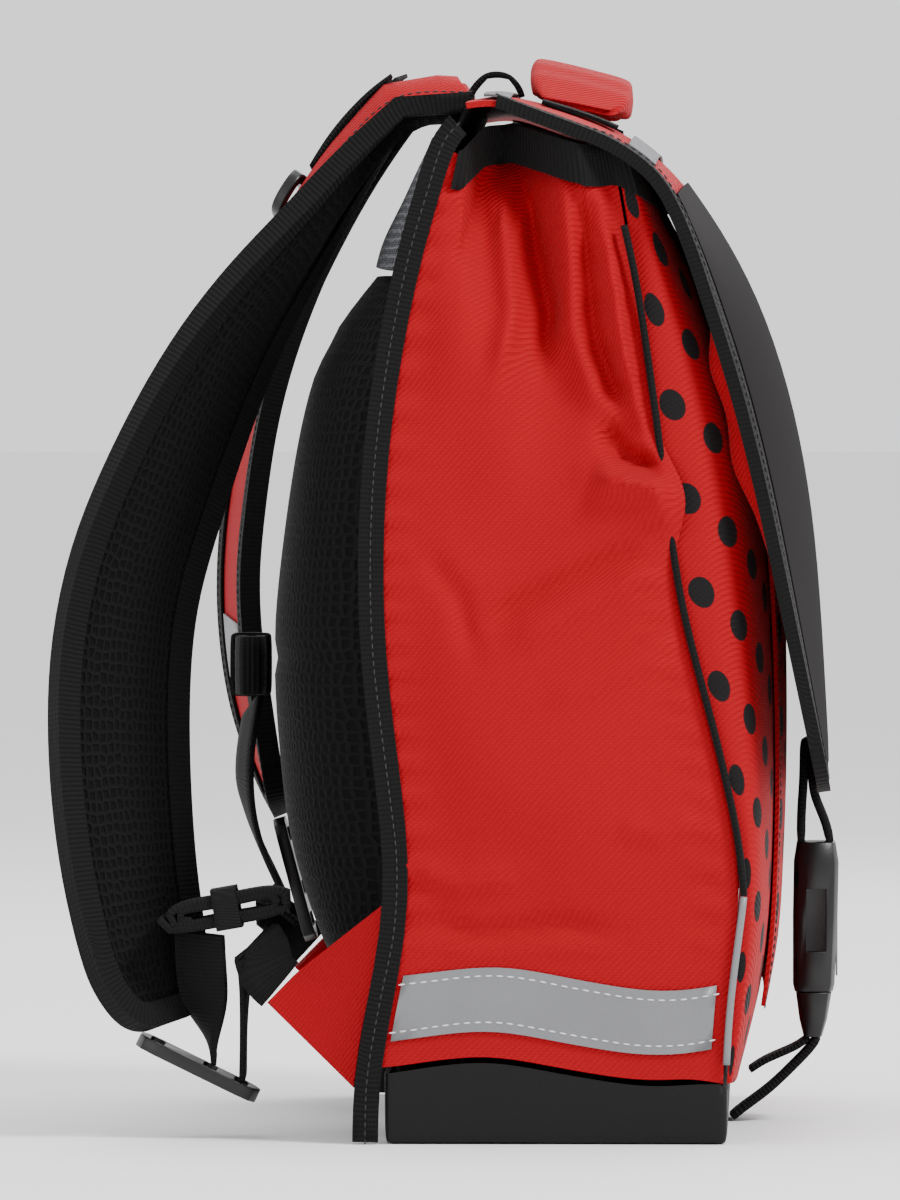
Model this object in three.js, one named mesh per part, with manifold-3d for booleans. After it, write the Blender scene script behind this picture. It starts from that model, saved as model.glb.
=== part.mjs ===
// School ransel: a child's flap satchel worn on the back.
// Millimetres, +Z up. The origin is on the floor under the middle of the base.
// The front with the flap and buckle faces -Y, the back pads face +Y, and -X is the wearer's left.
import * as THREE from "three";
import { mergeVertices } from "three/addons/utils/BufferGeometryUtils.js";
import Module from "manifold-3d";

const wasm = await Module();
wasm.setup();

// Body
const BODY_WIDTH = 320;
const BODY_HEIGHT = 406;
const HALF_DEPTH = 72;
const CLOTH = 1.6;
const GAP = 0.3;
const FOLD_DEPTH = 14;

// Base tray
const BASE_HEIGHT = 28;
const BASE_FLOOR = 2.6;
const BASE_WALL = 2;
const BASE_CORNER = 3;
const BASE_EDGE_ROUND = 3;

// Front wall and pocket
const FRONT_BULGE = 91;
const FRONT_SQUARENESS = 4;
const POCKET_WIDTH = 226;
const POCKET_HEIGHT = 205;
const POCKET_FOOT = 52;
const POCKET_PUFF = 1.5;

// Seam trims
const BINDING_WIDTH = 10;
const BINDING_CLOTH = 0.8;
const RIM_HEIGHT = 15;
const PIPING = 3.4;
const PIPING_SPLIT = 0.24;
const TAPE_WIDTH = 25;
const TAPE_THICKNESS = 0.7;
const TAPE_FOOT = 38;

// Back
const BACK_BOW = 18;
const PAD_DEPTH = 38;
const PAD_WIDTH = 124;
const PAD_CHANNEL = 26;
const PAD_FOOT = 34;
const PAD_HEIGHT = 306;
const PAD_CLEAR = 1.15;
const YOKE_DEPTH = 20;
const YOKE_SHARE = 0.88;
const TAB_REACH = 40;
const TAB_HEIGHT = 72;
const TAB_FOOT = 22;
const TAB_THICKNESS = 3;

// Flap
const FLAP_WIDTH = 326;
const FLAP_REACH = 141;
const FLAP_THICKNESS = 2.4;
const FLAP_CORNER = 20;
const COVER_THICKNESS = 0.8;
const COVER_INSET = 10;
const RIBBON_WIDTH = 10;
const RIBBON_THICKNESS = 1;

// Handle and haul loop
const HANDLE_LENGTH = 132;
const HANDLE_WIDTH = 42;
const HANDLE_THICKNESS = 8.6;
const HANDLE_RISE = 14.6;
const HANDLE_TURN = 14;
const ANCHOR_LENGTH = 24;
const ANCHOR_WIDTH = 30;
const HAUL_WIDTH = 25;
const HAUL_RISE = 11.5;

// Shoulder straps
const STRAP_WIDTH = 58;
const STRAP_FOAM = 7;
const STRAP_EDGE = 2.5;
const STRAP_REACH = 139;
const REFLECTOR_LENGTH = 34;
const REFLECTOR_WIDTH = 34;
const STRAP_TAB_WIDTH = 20;
const STRAP_TAB_LENGTH = 46;
const RING_WIDTH = 30;
const RING_BAR = 4;

// Webbing and hard parts
const WEBBING = 1.6;
const WEBBING_WIDTH = 22;
const LOCK_LENGTH = 52;
const LOCK_WIDTH = 30;
const LOCK_THICKNESS = 5;
const BUNDLE_LENGTH = 54;
const BUNDLE_HEIGHT = 18;
const KEEPER_WIDTH = 10;
const BUCKLE_LENGTH = 60;
const BUCKLE_WIDTH = 34;
const BUCKLE_THICKNESS = 18;
const TONGUE_LENGTH = 18;
const BUCKLE_WEBBING_WIDTH = 25;
const BUCKLE_FOOT = 34;

const HALF_WIDTH = BODY_WIDTH / 2;

// Outline of the gusset seen from the side. at is a share of BODY_HEIGHT, back and front are
// shares of HALF_DEPTH.
const SIDE_ROWS = [
  { at: 0.0, back: 1.03, front: -0.99 },
  { at: 0.065, back: 1.018, front: -0.98 },
  { at: 0.14, back: 0.947, front: -1.005 },
  { at: 0.19, back: 0.885, front: -1.04 },
  { at: 0.257, back: 0.853, front: -1.075 },
  { at: 0.37, back: 0.92, front: -0.955 },
  { at: 0.446, back: 0.975, front: -0.843 },
  { at: 0.526, back: 1.0, front: -0.732 },
  { at: 0.622, back: 0.99, front: -0.655 },
  { at: 0.718, back: 0.938, front: -0.586 },
  { at: 0.842, back: 0.811, front: -0.48 },
  { at: 0.91, back: 0.703, front: -0.39 },
  { at: 0.973, back: 0.583, front: -0.31 },
  { at: 1.0, back: 0.433, front: -0.27 },
];

// Middle of the front wall. at is a share of BODY_HEIGHT, reach is a share of FRONT_BULGE.
const FRONT_ROWS = [
  { at: 0.045, reach: 0.8 },
  { at: 0.1, reach: 0.9 },
  { at: 0.18, reach: 0.965 },
  { at: 0.27, reach: 0.985 },
  { at: 0.36, reach: 1.0 },
  { at: 0.55, reach: 0.985 },
  { at: 0.68, reach: 0.91 },
  { at: 0.78, reach: 0.76 },
  { at: 0.86, reach: 0.6 },
  { at: 0.93, reach: 0.43 },
  { at: 0.96, reach: 0.35 },
];

// Upper hem of the gusset from the back seam to the front seam. height is a share of BODY_HEIGHT.
const HEM_ROWS = [
  { at: 0.0, height: 0.972 },
  { at: 0.12, height: 0.955 },
  { at: 0.3, height: 0.948 },
  { at: 0.5, height: 0.937 },
  { at: 0.66, height: 0.928 },
  { at: 0.84, height: 0.92 },
  { at: 1.0, height: 0.93 },
];

// Folds of the gusset. at is a share of the way to the front seam, up a share of BODY_HEIGHT,
// length and width shares of HALF_DEPTH, turn the ridge's angle, rise a share of FOLD_DEPTH.
const FOLDS = [
  { at: 0.4, up: 0.93, length: 0.5, width: 0.34, turn: 100, rise: -1.7 },
  { at: 0.62, up: 0.82, length: 0.6, width: 0.2, turn: 112, rise: -0.75 },
  { at: 0.83, up: 0.86, length: 0.9, width: 0.22, turn: 100, rise: 0.55 },
  { at: 0.28, up: 0.79, length: 0.9, width: 0.26, turn: 128, rise: 0.5 },
  { at: 0.72, up: 0.67, length: 0.8, width: 0.16, turn: 126, rise: -0.42 },
  { at: 0.9, up: 0.61, length: 0.7, width: 0.24, turn: 130, rise: 0.8 },
  { at: 0.62, up: 0.6, length: 1.1, width: 0.2, turn: 132, rise: 0.3 },
  { at: 0.5, up: 0.35, length: 1.8, width: 1.1, turn: 90, rise: 0.5 },
  { at: 0.3, up: 0.3, length: 0.9, width: 0.14, turn: 138, rise: -0.3 },
  { at: 0.42, up: 0.22, length: 0.7, width: 0.12, turn: 150, rise: 0.22 },
  { at: 0.12, up: 0.2, length: 0.5, width: 0.16, turn: 70, rise: -0.35 },
];

// Height of the tray's hem along each side, from the back to the front, as a share of BASE_HEIGHT.
const TRAY_ROWS = [
  { at: 0.0, height: 0.98 },
  { at: 0.22, height: 1.13 },
  { at: 0.34, height: 1.13 },
  { at: 0.56, height: 0.95 },
  { at: 0.75, height: 0.82 },
  { at: 0.9, height: 0.84 },
  { at: 0.95, height: 0.9 },
  { at: 0.98, height: 0.84 },
  { at: 1.0, height: 0.74 },
];

// Flap from the back seam to the lip. reach is a share of FLAP_REACH in front of the seam,
// height a share of BODY_HEIGHT, at the side edges and on the crown in the middle.
const FLAP_ROWS = [
  { at: 0.0, edgeReach: 0.0, edgeHeight: 1.002, crownReach: 0.0, crownHeight: 1.01 },
  { at: 0.03, edgeReach: 0.075, edgeHeight: 1.007, crownReach: 0.07, crownHeight: 1.017 },
  { at: 0.07, edgeReach: 0.165, edgeHeight: 0.996, crownReach: 0.165, crownHeight: 1.011 },
  { at: 0.13, edgeReach: 0.3, edgeHeight: 0.979, crownReach: 0.3, crownHeight: 0.998 },
  { at: 0.19, edgeReach: 0.41, edgeHeight: 0.965, crownReach: 0.42, crownHeight: 0.981 },
  { at: 0.245, edgeReach: 0.52, edgeHeight: 0.938, crownReach: 0.53, crownHeight: 0.953 },
  { at: 0.33, edgeReach: 0.61, edgeHeight: 0.883, crownReach: 0.66, crownHeight: 0.9 },
  { at: 0.45, edgeReach: 0.7, edgeHeight: 0.79, crownReach: 0.82, crownHeight: 0.8 },
  { at: 0.58, edgeReach: 0.79, edgeHeight: 0.69, crownReach: 0.92, crownHeight: 0.68 },
  { at: 0.71, edgeReach: 0.865, edgeHeight: 0.57, crownReach: 0.965, crownHeight: 0.565 },
  { at: 0.85, edgeReach: 0.935, edgeHeight: 0.455, crownReach: 0.99, crownHeight: 0.445 },
  { at: 1.0, edgeReach: 1.0, edgeHeight: 0.345, crownReach: 1.0, crownHeight: 0.335 },
];

// Back pad from its foot to its top. depth is a share of PAD_DEPTH, width a share of PAD_WIDTH.
const PAD_ROWS = [
  { at: 0.0, depth: 0.28, width: 0.78 },
  { at: 0.05, depth: 0.45, width: 0.9 },
  { at: 0.115, depth: 0.7, width: 0.95 },
  { at: 0.19, depth: 0.93, width: 0.98 },
  { at: 0.27, depth: 0.99, width: 1.0 },
  { at: 0.45, depth: 0.94, width: 1.0 },
  { at: 0.53, depth: 0.9, width: 1.0 },
  { at: 0.63, depth: 0.8, width: 1.0 },
  { at: 0.84, depth: 0.65, width: 0.98 },
  { at: 0.95, depth: 0.6, width: 0.92 },
  { at: 1.0, depth: 0.36, width: 0.8 },
];

// Routes of the shoulder straps from the top seam to the tip. out is a share of HALF_WIDTH, back
// a share of STRAP_REACH behind the seam, up a share of BODY_HEIGHT, turn the twist in degrees.
const STRAP_ROUTES = {
  left: [
    { at: 0.0, out: 0.39, back: 0.015, up: 1.008, turn: 0 },
    { at: 0.035, out: 0.395, back: 0.12, up: 1.012, turn: 0 },
    { at: 0.07, out: 0.4, back: 0.21, up: 0.997, turn: 2 },
    { at: 0.12, out: 0.42, back: 0.32, up: 0.957, turn: 6 },
    { at: 0.18, out: 0.44, back: 0.41, up: 0.908, turn: 12 },
    { at: 0.24, out: 0.465, back: 0.52, up: 0.857, turn: 20 },
    { at: 0.31, out: 0.495, back: 0.64, up: 0.8, turn: 28 },
    { at: 0.39, out: 0.53, back: 0.755, up: 0.727, turn: 37 },
    { at: 0.5, out: 0.58, back: 0.885, up: 0.62, turn: 48 },
    { at: 0.6, out: 0.62, back: 0.978, up: 0.522, turn: 54 },
    { at: 0.69, out: 0.655, back: 1.0, up: 0.425, turn: 56 },
    { at: 0.79, out: 0.69, back: 0.99, up: 0.327, turn: 54 },
    { at: 0.885, out: 0.715, back: 0.955, up: 0.228, turn: 48 },
    { at: 0.96, out: 0.73, back: 0.9, up: 0.152, turn: 42 },
    { at: 1.0, out: 0.735, back: 0.86, up: 0.113, turn: 40 },
  ],
  right: [
    { at: 0.0, out: 0.39, back: 0.015, up: 1.008, turn: 0 },
    { at: 0.035, out: 0.395, back: 0.12, up: 1.014, turn: 0 },
    { at: 0.07, out: 0.41, back: 0.21, up: 1.004, turn: 0 },
    { at: 0.13, out: 0.44, back: 0.32, up: 0.955, turn: 2 },
    { at: 0.2, out: 0.49, back: 0.43, up: 0.89, turn: 5 },
    { at: 0.29, out: 0.56, back: 0.55, up: 0.81, turn: 8 },
    { at: 0.4, out: 0.65, back: 0.65, up: 0.715, turn: 10 },
    { at: 0.5, out: 0.72, back: 0.705, up: 0.625, turn: 12 },
    { at: 0.6, out: 0.78, back: 0.735, up: 0.54, turn: 12 },
    { at: 0.7, out: 0.81, back: 0.725, up: 0.46, turn: 12 },
    { at: 0.8, out: 0.81, back: 0.695, up: 0.4, turn: 12 },
    { at: 0.9, out: 0.785, back: 0.65, up: 0.345, turn: 8 },
    { at: 1.0, out: 0.76, back: 0.605, up: 0.298, turn: 2 },
  ],
};

// Lower webbing from the corner tab to the ladder lock. along is the share of the straight way,
// back and up are offsets from it in shares of STRAP_WIDTH, flat is 0 where the webbing lies in
// the tab's plane and 1 where it lies across the lock.
const WEBBING_ROUTES = {
  left: [
    { at: 0.0, along: 0.0, back: 0.0, up: 0.0, flat: 0 },
    { at: 0.1, along: 0.02, back: 0.08, up: 0.09, flat: 0.02 },
    { at: 0.25, along: 0.1, back: 0.1, up: 0.3, flat: 0.1 },
    { at: 0.45, along: 0.3, back: 0.1, up: 0.46, flat: 0.4 },
    { at: 0.6, along: 0.55, back: 0.08, up: 0.5, flat: 0.8 },
    { at: 0.8, along: 0.85, back: 0.03, up: 0.3, flat: 1 },
    { at: 1.0, along: 1.0, back: 0.0, up: 0.0, flat: 1 },
  ],
  right: [
    { at: 0.0, along: 0.0, back: 0.0, up: 0.0, flat: 0 },
    { at: 0.15, along: 0.02, back: 0.1, up: 0.09, flat: 0.05 },
    { at: 0.4, along: 0.35, back: 0.2, up: 0.14, flat: 0.5 },
    { at: 0.7, along: 0.9, back: 0.2, up: 0.16, flat: 0.95 },
    { at: 0.9, along: 1.0, back: 0.1, up: 0.08, flat: 1 },
    { at: 1.0, along: 1.0, back: 0.0, up: 0.0, flat: 1 },
  ],
};

// Ladder locks and rolled tails. lockFall is the lock's fall from level in degrees, lockFace
// is 1 where the webbing leaves its upper face and -1 where it leaves the rear one, lockBack and
// lockDrop its rear end from the strap's tip in shares of LOCK_LENGTH. The roll's place is in
// shares of HALF_WIDTH, STRAP_REACH and BODY_HEIGHT, with the directions of its length and width.
const ENDS = {
  left: {
    lockFall: 26,
    lockFace: 1,
    lockBack: 0.2,
    lockDrop: 0.13,
    rollOut: 0.79,
    rollBack: 0.682,
    rollUp: 0.224,
    rollLength: [0, 0.98, -0.17],
    rollWidth: [1, 0, 0],
    tailDrop: 0.565,
    tailBack: 0.6,
    tailIn: 0,
    tailSwing: 0,
    tailBow: 0.02,
  },
  right: {
    lockFall: 75,
    lockFace: -1,
    lockBack: 0,
    lockDrop: 0.08,
    rollOut: 0.4,
    rollBack: 0.671,
    rollUp: 0.448,
    rollLength: [1, 0, 0],
    rollWidth: [0, 0, 1],
    tailDrop: 0.95,
    tailBack: 0,
    tailIn: -0.85,
    tailSwing: 0.5,
    tailBow: 0.14,
  },
};

// Materials
const finish = (color, roughness, metalness = 0) =>
  new THREE.MeshStandardMaterial({ color, roughness, metalness });
const RED_TWILL = finish(0xd3161d, 0.78);
const BLACK_TAPE = finish(0x1e1f1d, 0.85);
const BLACK_MESH = finish(0x191b1a, 0.9);
const GREY_MESH = finish(0x55575a, 0.85);
const COATED_BLACK = finish(0x262725, 0.55);
const REFLECTIVE = finish(0x7e7f82, 0.35);
const DARK_FILM = finish(0x2c2628, 0.2);
const GREY_RIBBON = finish(0x8f9092, 0.6);
const BLACK_PLASTIC = finish(0x202120, 0.45);

const group = new THREE.Group();

// Adds one named piece of the bag.
function piece(name, geometry, material) {
  const mesh = new THREE.Mesh(geometry, material);
  mesh.name = name;
  group.add(mesh);
}

const point = (x, y, z) => new THREE.Vector3(x, y, z);
const mix = THREE.MathUtils.lerp;
const smooth = THREE.MathUtils.smoothstep;
const radians = THREE.MathUtils.degToRad;
const clamp = THREE.MathUtils.clamp;
const steps = (count) => Array.from({ length: count + 1 }, (_, i) => i / count);

// Value of a table's column at a station, on a smooth curve through the rows.
function column(rows, key, at) {
  const last = rows.length - 1;
  if (at <= rows[0].at) return rows[0][key];
  if (at >= rows[last].at) return rows[last][key];
  let i = 0;
  while (at > rows[i + 1].at) i += 1;
  const slope = (k) => {
    const before = rows[Math.max(k - 1, 0)];
    const after = rows[Math.min(k + 1, last)];
    return (after[key] - before[key]) / (after.at - before.at);
  };
  const span = rows[i + 1].at - rows[i].at;
  const t = (at - rows[i].at) / span;
  const rise = rows[i + 1][key] - rows[i][key];
  const startSlope = slope(i) * span;
  const endSlope = slope(i + 1) * span;
  const bend = t * (1 - t) * ((1 - t) * (startSlope - rise) + t * (rise - endSlope));
  return rows[i][key] + rise * t + bend;
}

// Closed geometry from points and triangles, turned inside out if its faces point inwards.
function closed(points, triangles) {
  let volume = 0;
  for (const [a, b, c] of triangles) {
    volume += points[a].dot(points[b].clone().cross(points[c]));
  }
  const index = triangles.flatMap(([a, b, c]) => (volume < 0 ? [a, c, b] : [a, b, c]));
  const geometry = new THREE.BufferGeometry().setFromPoints(points);
  geometry.setIndex(index);
  geometry.computeVertexNormals();
  return geometry;
}

// Closed solid between two matching grids of points, an outer one and an inner one.
function wall(outer, inner) {
  const rows = outer.length;
  const cols = outer[0].length;
  const points = [...outer.flat(), ...inner.flat()];
  const front = (i, j) => i * cols + j;
  const rear = (i, j) => rows * cols + i * cols + j;
  const triangles = [];
  const quad = (a, b, c, d) => triangles.push([a, b, c], [a, c, d]);
  for (let i = 0; i < rows - 1; i += 1) {
    for (let j = 0; j < cols - 1; j += 1) {
      quad(front(i, j), front(i + 1, j), front(i + 1, j + 1), front(i, j + 1));
      quad(rear(i, j), rear(i, j + 1), rear(i + 1, j + 1), rear(i + 1, j));
    }
    quad(front(i, 0), rear(i, 0), rear(i + 1, 0), front(i + 1, 0));
    quad(front(i, cols - 1), front(i + 1, cols - 1), rear(i + 1, cols - 1), rear(i, cols - 1));
  }
  for (let j = 0; j < cols - 1; j += 1) {
    quad(front(0, j), front(0, j + 1), rear(0, j + 1), rear(0, j));
    quad(front(rows - 1, j), rear(rows - 1, j), rear(rows - 1, j + 1), front(rows - 1, j + 1));
  }
  return closed(points, triangles);
}

// Unit normal of a surface f(u, v), on the side that toward points to.
function normalOf(surface, u, v, toward) {
  const step = 0.004;
  const across = surface(u + step, v).sub(surface(u - step, v));
  const along = surface(u, v + step).sub(surface(u, v - step));
  const normal = across.cross(along).normalize();
  return normal.dot(toward) < 0 ? normal.negate() : normal;
}

// Cloth on a surface: its outer face lies lift above the surface and its thickness goes inwards.
function cloth(surface, toward, us, vs, thickness, lift = 0) {
  const outer = [];
  const inner = [];
  for (const v of vs) {
    const normals = us.map((u) => normalOf(surface, u, v, toward(u, v)));
    outer.push(us.map((u, i) => surface(u, v).addScaledVector(normals[i], lift)));
    inner.push(us.map((u, i) => surface(u, v).addScaledVector(normals[i], lift - thickness)));
  }
  return wall(outer, inner);
}

// A section swept along frames. Each frame has an origin and the section's two directions.
function sweep(section, frames, ring = false) {
  const outline = section.map(([p, q]) => new THREE.Vector2(p, q));
  if (THREE.ShapeUtils.isClockWise(outline)) outline.reverse();
  const count = outline.length;
  const points = frames.flatMap(({ origin, a, b }) =>
    outline.map((p) => origin.clone().addScaledVector(a, p.x).addScaledVector(b, p.y)),
  );
  const triangles = [];
  const links = ring ? frames.length : frames.length - 1;
  for (let i = 0; i < links; i += 1) {
    const here = i * count;
    const next = ((i + 1) % frames.length) * count;
    for (let j = 0; j < count; j += 1) {
      const k = (j + 1) % count;
      triangles.push([here + j, here + k, next + k], [here + j, next + k, next + j]);
    }
  }
  if (!ring) {
    const end = (frames.length - 1) * count;
    for (const [p, q, r] of THREE.ShapeUtils.triangulateShape(outline, [])) {
      triangles.push([p, r, q], [end + p, end + q, end + r]);
    }
  }
  return closed(points, triangles);
}

const solidOf = (geometry) => {
  const bare = geometry.index ? geometry.toNonIndexed() : geometry.clone();
  bare.deleteAttribute("normal");
  bare.deleteAttribute("uv");
  const merged = mergeVertices(bare, 1e-4);
  return new wasm.Manifold(
    new wasm.Mesh({
      numProp: 3,
      vertProperties: merged.attributes.position.array,
      triVerts: new Uint32Array(merged.index.array),
    }),
  );
};

// First geometry with the others cut out of it.
function cut(body, ...tools) {
  const result = tools.reduce((left, tool) => left.subtract(solidOf(tool)), solidOf(body));
  const mesh = result.getMesh();
  const geometry = new THREE.BufferGeometry();
  geometry.setAttribute("position", new THREE.BufferAttribute(mesh.vertProperties, 3));
  geometry.setIndex(new THREE.BufferAttribute(mesh.triVerts, 1));
  return geometry;
}

// Sections, as pairs of width and height
const bar = (width, height, rise = 0) => [
  [-width / 2, rise - height / 2],
  [width / 2, rise - height / 2],
  [width / 2, rise + height / 2],
  [-width / 2, rise + height / 2],
];

const disc = (radius, sides) =>
  steps(sides)
    .slice(1)
    .map((t) => [radius * Math.cos(2 * Math.PI * t), radius * Math.sin(2 * Math.PI * t)]);

const pill = (width, height, round) => {
  const corner = Math.min(round, width / 2, height / 2);
  const centres = [
    [1, 1],
    [-1, 1],
    [-1, -1],
    [1, -1],
  ];
  return centres.flatMap(([sx, sy], i) =>
    [0, 0.5, 1].map((t) => {
      const angle = (i + t) * (Math.PI / 2);
      const x = sx * (width / 2 - corner) + corner * Math.cos(angle);
      const y = sy * (height / 2 - corner) + corner * Math.sin(angle);
      return [x, y];
    }),
  );
};

// Section of a folded tape that holds a cloth edge. The cloth lies between low and high on the
// second axis and ends at zero on the first; the tape's open side looks along the first axis.
const channel = (width, low, high) => {
  const inLow = low - GAP;
  const inHigh = high + GAP;
  const outLow = inLow - BINDING_CLOTH;
  const outHigh = inHigh + BINDING_CLOTH;
  const spine = -2 * GAP;
  const back = spine - BINDING_CLOTH;
  const mouth = width + back;
  return [
    [mouth, outLow],
    [mouth, inLow],
    [spine, inLow],
    [spine, inHigh],
    [mouth, inHigh],
    [mouth, outHigh],
    [back, outHigh],
    [back, outLow],
  ];
};

// Frames along an edge path of a surface, with a pointing into the cloth and b outwards.
function edgeFrames(surface, toward, path, inward) {
  const at = path.map(([u, v]) => surface(u, v));
  return path.map(([u, v], i) => {
    const tangent = at[Math.min(i + 1, at.length - 1)].clone().sub(at[Math.max(i - 1, 0)]);
    const b = normalOf(surface, u, v, toward(u, v));
    const a = tangent.cross(b).normalize();
    if (a.dot(inward(u, v, at[i])) < 0) a.negate();
    return { origin: at[i], a, b };
  });
}

// Frames along a free path, with a along the given width direction.
function pathFrames(points, widths) {
  return points.map((origin, i) => {
    const tangent = points[Math.min(i + 1, points.length - 1)]
      .clone()
      .sub(points[Math.max(i - 1, 0)])
      .normalize();
    const a = widths[i].clone().addScaledVector(tangent, -widths[i].dot(tangent)).normalize();
    return { origin, a, b: tangent.clone().cross(a).normalize() };
  });
}

// Closed solid between matching rings of points, capped at both ends. flat gives a ring point's
// place in the plane that the caps lie in.
function loft(rings, flat) {
  const count = rings[0].length;
  const triangles = [];
  for (let i = 0; i < rings.length - 1; i += 1) {
    for (let j = 0; j < count; j += 1) {
      const k = (j + 1) % count;
      const here = i * count;
      const next = here + count;
      triangles.push([here + j, here + k, next + k], [here + j, next + k, next + j]);
    }
  }
  const end = (rings.length - 1) * count;
  const cap = (ring) => THREE.ShapeUtils.triangulateShape(ring.map(flat), []);
  for (const [p, q, r] of cap(rings[0])) triangles.push([p, r, q]);
  for (const [p, q, r] of cap(rings[rings.length - 1])) {
    triangles.push([end + p, end + q, end + r]);
  }
  return closed(rings.flat(), triangles);
}

// Flat shape with holes, of a given thickness, in a plane set by its two directions.
function plate(outline, holes, thickness, centre, a, b) {
  const shape = new THREE.Shape(outline.map(([p, q]) => new THREE.Vector2(p, q)));
  shape.holes = holes.map((hole) => new THREE.Path(hole.map(([p, q]) => new THREE.Vector2(p, q))));
  const geometry = new THREE.ExtrudeGeometry(shape, { depth: thickness, bevelEnabled: false });
  const normal = a.clone().cross(b);
  const basis = new THREE.Matrix4().makeBasis(a, b, normal);
  geometry.translate(0, 0, -thickness / 2);
  geometry.applyMatrix4(basis.setPosition(centre));
  return geometry;
}

const shifted = (outline, dx, dy) => outline.map(([p, q]) => [p + dx, q + dy]);
const X_AXIS = point(1, 0, 0);

// Gusset outline at a height
const backEdge = (z) => HALF_DEPTH * column(SIDE_ROWS, "back", z / BODY_HEIGHT);
const frontEdge = (z) => HALF_DEPTH * column(SIDE_ROWS, "front", z / BODY_HEIGHT);
const hemHeight = (u) => BODY_HEIGHT * column(HEM_ROWS, "height", u);
const SEAM_Y = backEdge(BODY_HEIGHT);

// Tray outline and its hem
const TRAY_BACK = backEdge(0) - BINDING_WIDTH - 1;
const TRAY_FRONT = frontEdge(0);
const HEM_GAP = 2.4;

function trayHem(y) {
  const at = (TRAY_BACK - y) / (TRAY_BACK - TRAY_FRONT);
  return BASE_HEIGHT * column(TRAY_ROWS, "height", at);
}

// Back seam in the side view, with the direction that points into the gusset
function backFrame(z) {
  const step = 2;
  const low = point(0, backEdge(z - step), z - step);
  const high = point(0, backEdge(z + step), z + step);
  const along = high.sub(low).normalize();
  return { origin: point(0, backEdge(z), z), inward: point(0, -along.z, along.y) };
}

// Relief of the gusset from the folds, in millimetres outwards
function relief(u, z) {
  const depth = backEdge(z) - frontEdge(z);
  let sum = 0;
  for (const fold of FOLDS) {
    const dy = (u - fold.at) * depth;
    const dz = z - fold.up * BODY_HEIGHT;
    const turn = radians(fold.turn);
    const along = (dy * Math.cos(turn) + dz * Math.sin(turn)) / (fold.length * HALF_DEPTH);
    const across = (dz * Math.cos(turn) - dy * Math.sin(turn)) / (fold.width * HALF_DEPTH);
    sum += fold.rise * Math.exp(-2 * (along * along + across * across));
  }
  const fromBack = u * depth;
  const fromFront = (1 - u) * depth;
  const rear = smooth(fromBack, 1.5 * BINDING_WIDTH, 3 * BINDING_WIDTH);
  const held = rear * smooth(fromFront, PIPING, 4 * PIPING);
  return sum * FOLD_DEPTH * held * smooth(z, TAPE_FOOT + 1.6 * TAPE_WIDTH, TAPE_FOOT + 3.6 * TAPE_WIDTH);
}

// Share of the walls' height at which the binding on the mouth begins
const RIM_START = 1 - (1.1 * RIM_HEIGHT) / (BODY_HEIGHT - 2 * BASE_HEIGHT);

// Gusset surface of one side. u runs from the back seam to the front, v from the tray to the hem.
const gusset = (side) => (u, v) => {
  const footY = mix(backEdge(BASE_HEIGHT), frontEdge(BASE_HEIGHT), u);
  const foot = trayHem(footY) + HEM_GAP;
  const z = mix(foot, hemHeight(u), v);
  const folded = mix(foot, hemHeight(u), Math.min(v, RIM_START));
  return point(side * (HALF_WIDTH + relief(u, folded)), mix(backEdge(z), frontEdge(z) + 4 * GAP, u), z);
};

// Front wall. u runs from the left seam to the right one, v from the tray to the mouth.
const MOUTH = hemHeight(1);
const FRONT_FOOT = trayHem(TRAY_FRONT) + 1.4 * HEM_GAP;
function frontWall(u, v) {
  const z = mix(FRONT_FOOT, MOUTH, v);
  const angle = (u * Math.PI) / 2;
  const wide = Math.sin(angle);
  const deep = Math.cos(angle);
  const power = FRONT_SQUARENESS;
  const size = (Math.abs(wide) ** power + Math.abs(deep) ** power) ** (1 / power);
  const seam = frontEdge(z) - GAP;
  const middle = -FRONT_BULGE * column(FRONT_ROWS, "reach", z / BODY_HEIGHT);
  return point((HALF_WIDTH * wide) / size, mix(seam, middle, deep / size), z);
}

// Flap surface. u runs across from edge to edge, v from the back seam to the lip.
function flapHalf(v, inset = 0) {
  const round = FLAP_CORNER - inset;
  const fromLip = clamp(((1 - v) * FLAP_FALL - inset) / round, 0, 1);
  return FLAP_WIDTH / 2 - inset - round * (1 - Math.sqrt(1 - (1 - fromLip) ** 2));
}

function flapSheet(x, v) {
  const crown = 1 - Math.abs((2 * x) / FLAP_WIDTH) ** 2.2;
  const value = (key) => mix(column(FLAP_ROWS, `edge${key}`, v), column(FLAP_ROWS, `crown${key}`, v), crown);
  return point(x, SEAM_Y - FLAP_REACH * value("Reach"), BODY_HEIGHT * value("Height"));
}
const FLAP_FALL = flapSheet(0, 1).distanceTo(flapSheet(0, 0.9)) / 0.1;
const flapSurface = (u, v) => flapSheet(u * flapHalf(v), v);
const flapOut = (u, v) => point(0, -smooth(v, 0.1, 0.4) - 0.05, 1.05 - smooth(v, 0.1, 0.4));
const flapAt = (reach) => {
  let v = 0;
  while (column(FLAP_ROWS, "crownReach", v) < reach) v += 0.001;
  return v;
};

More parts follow.
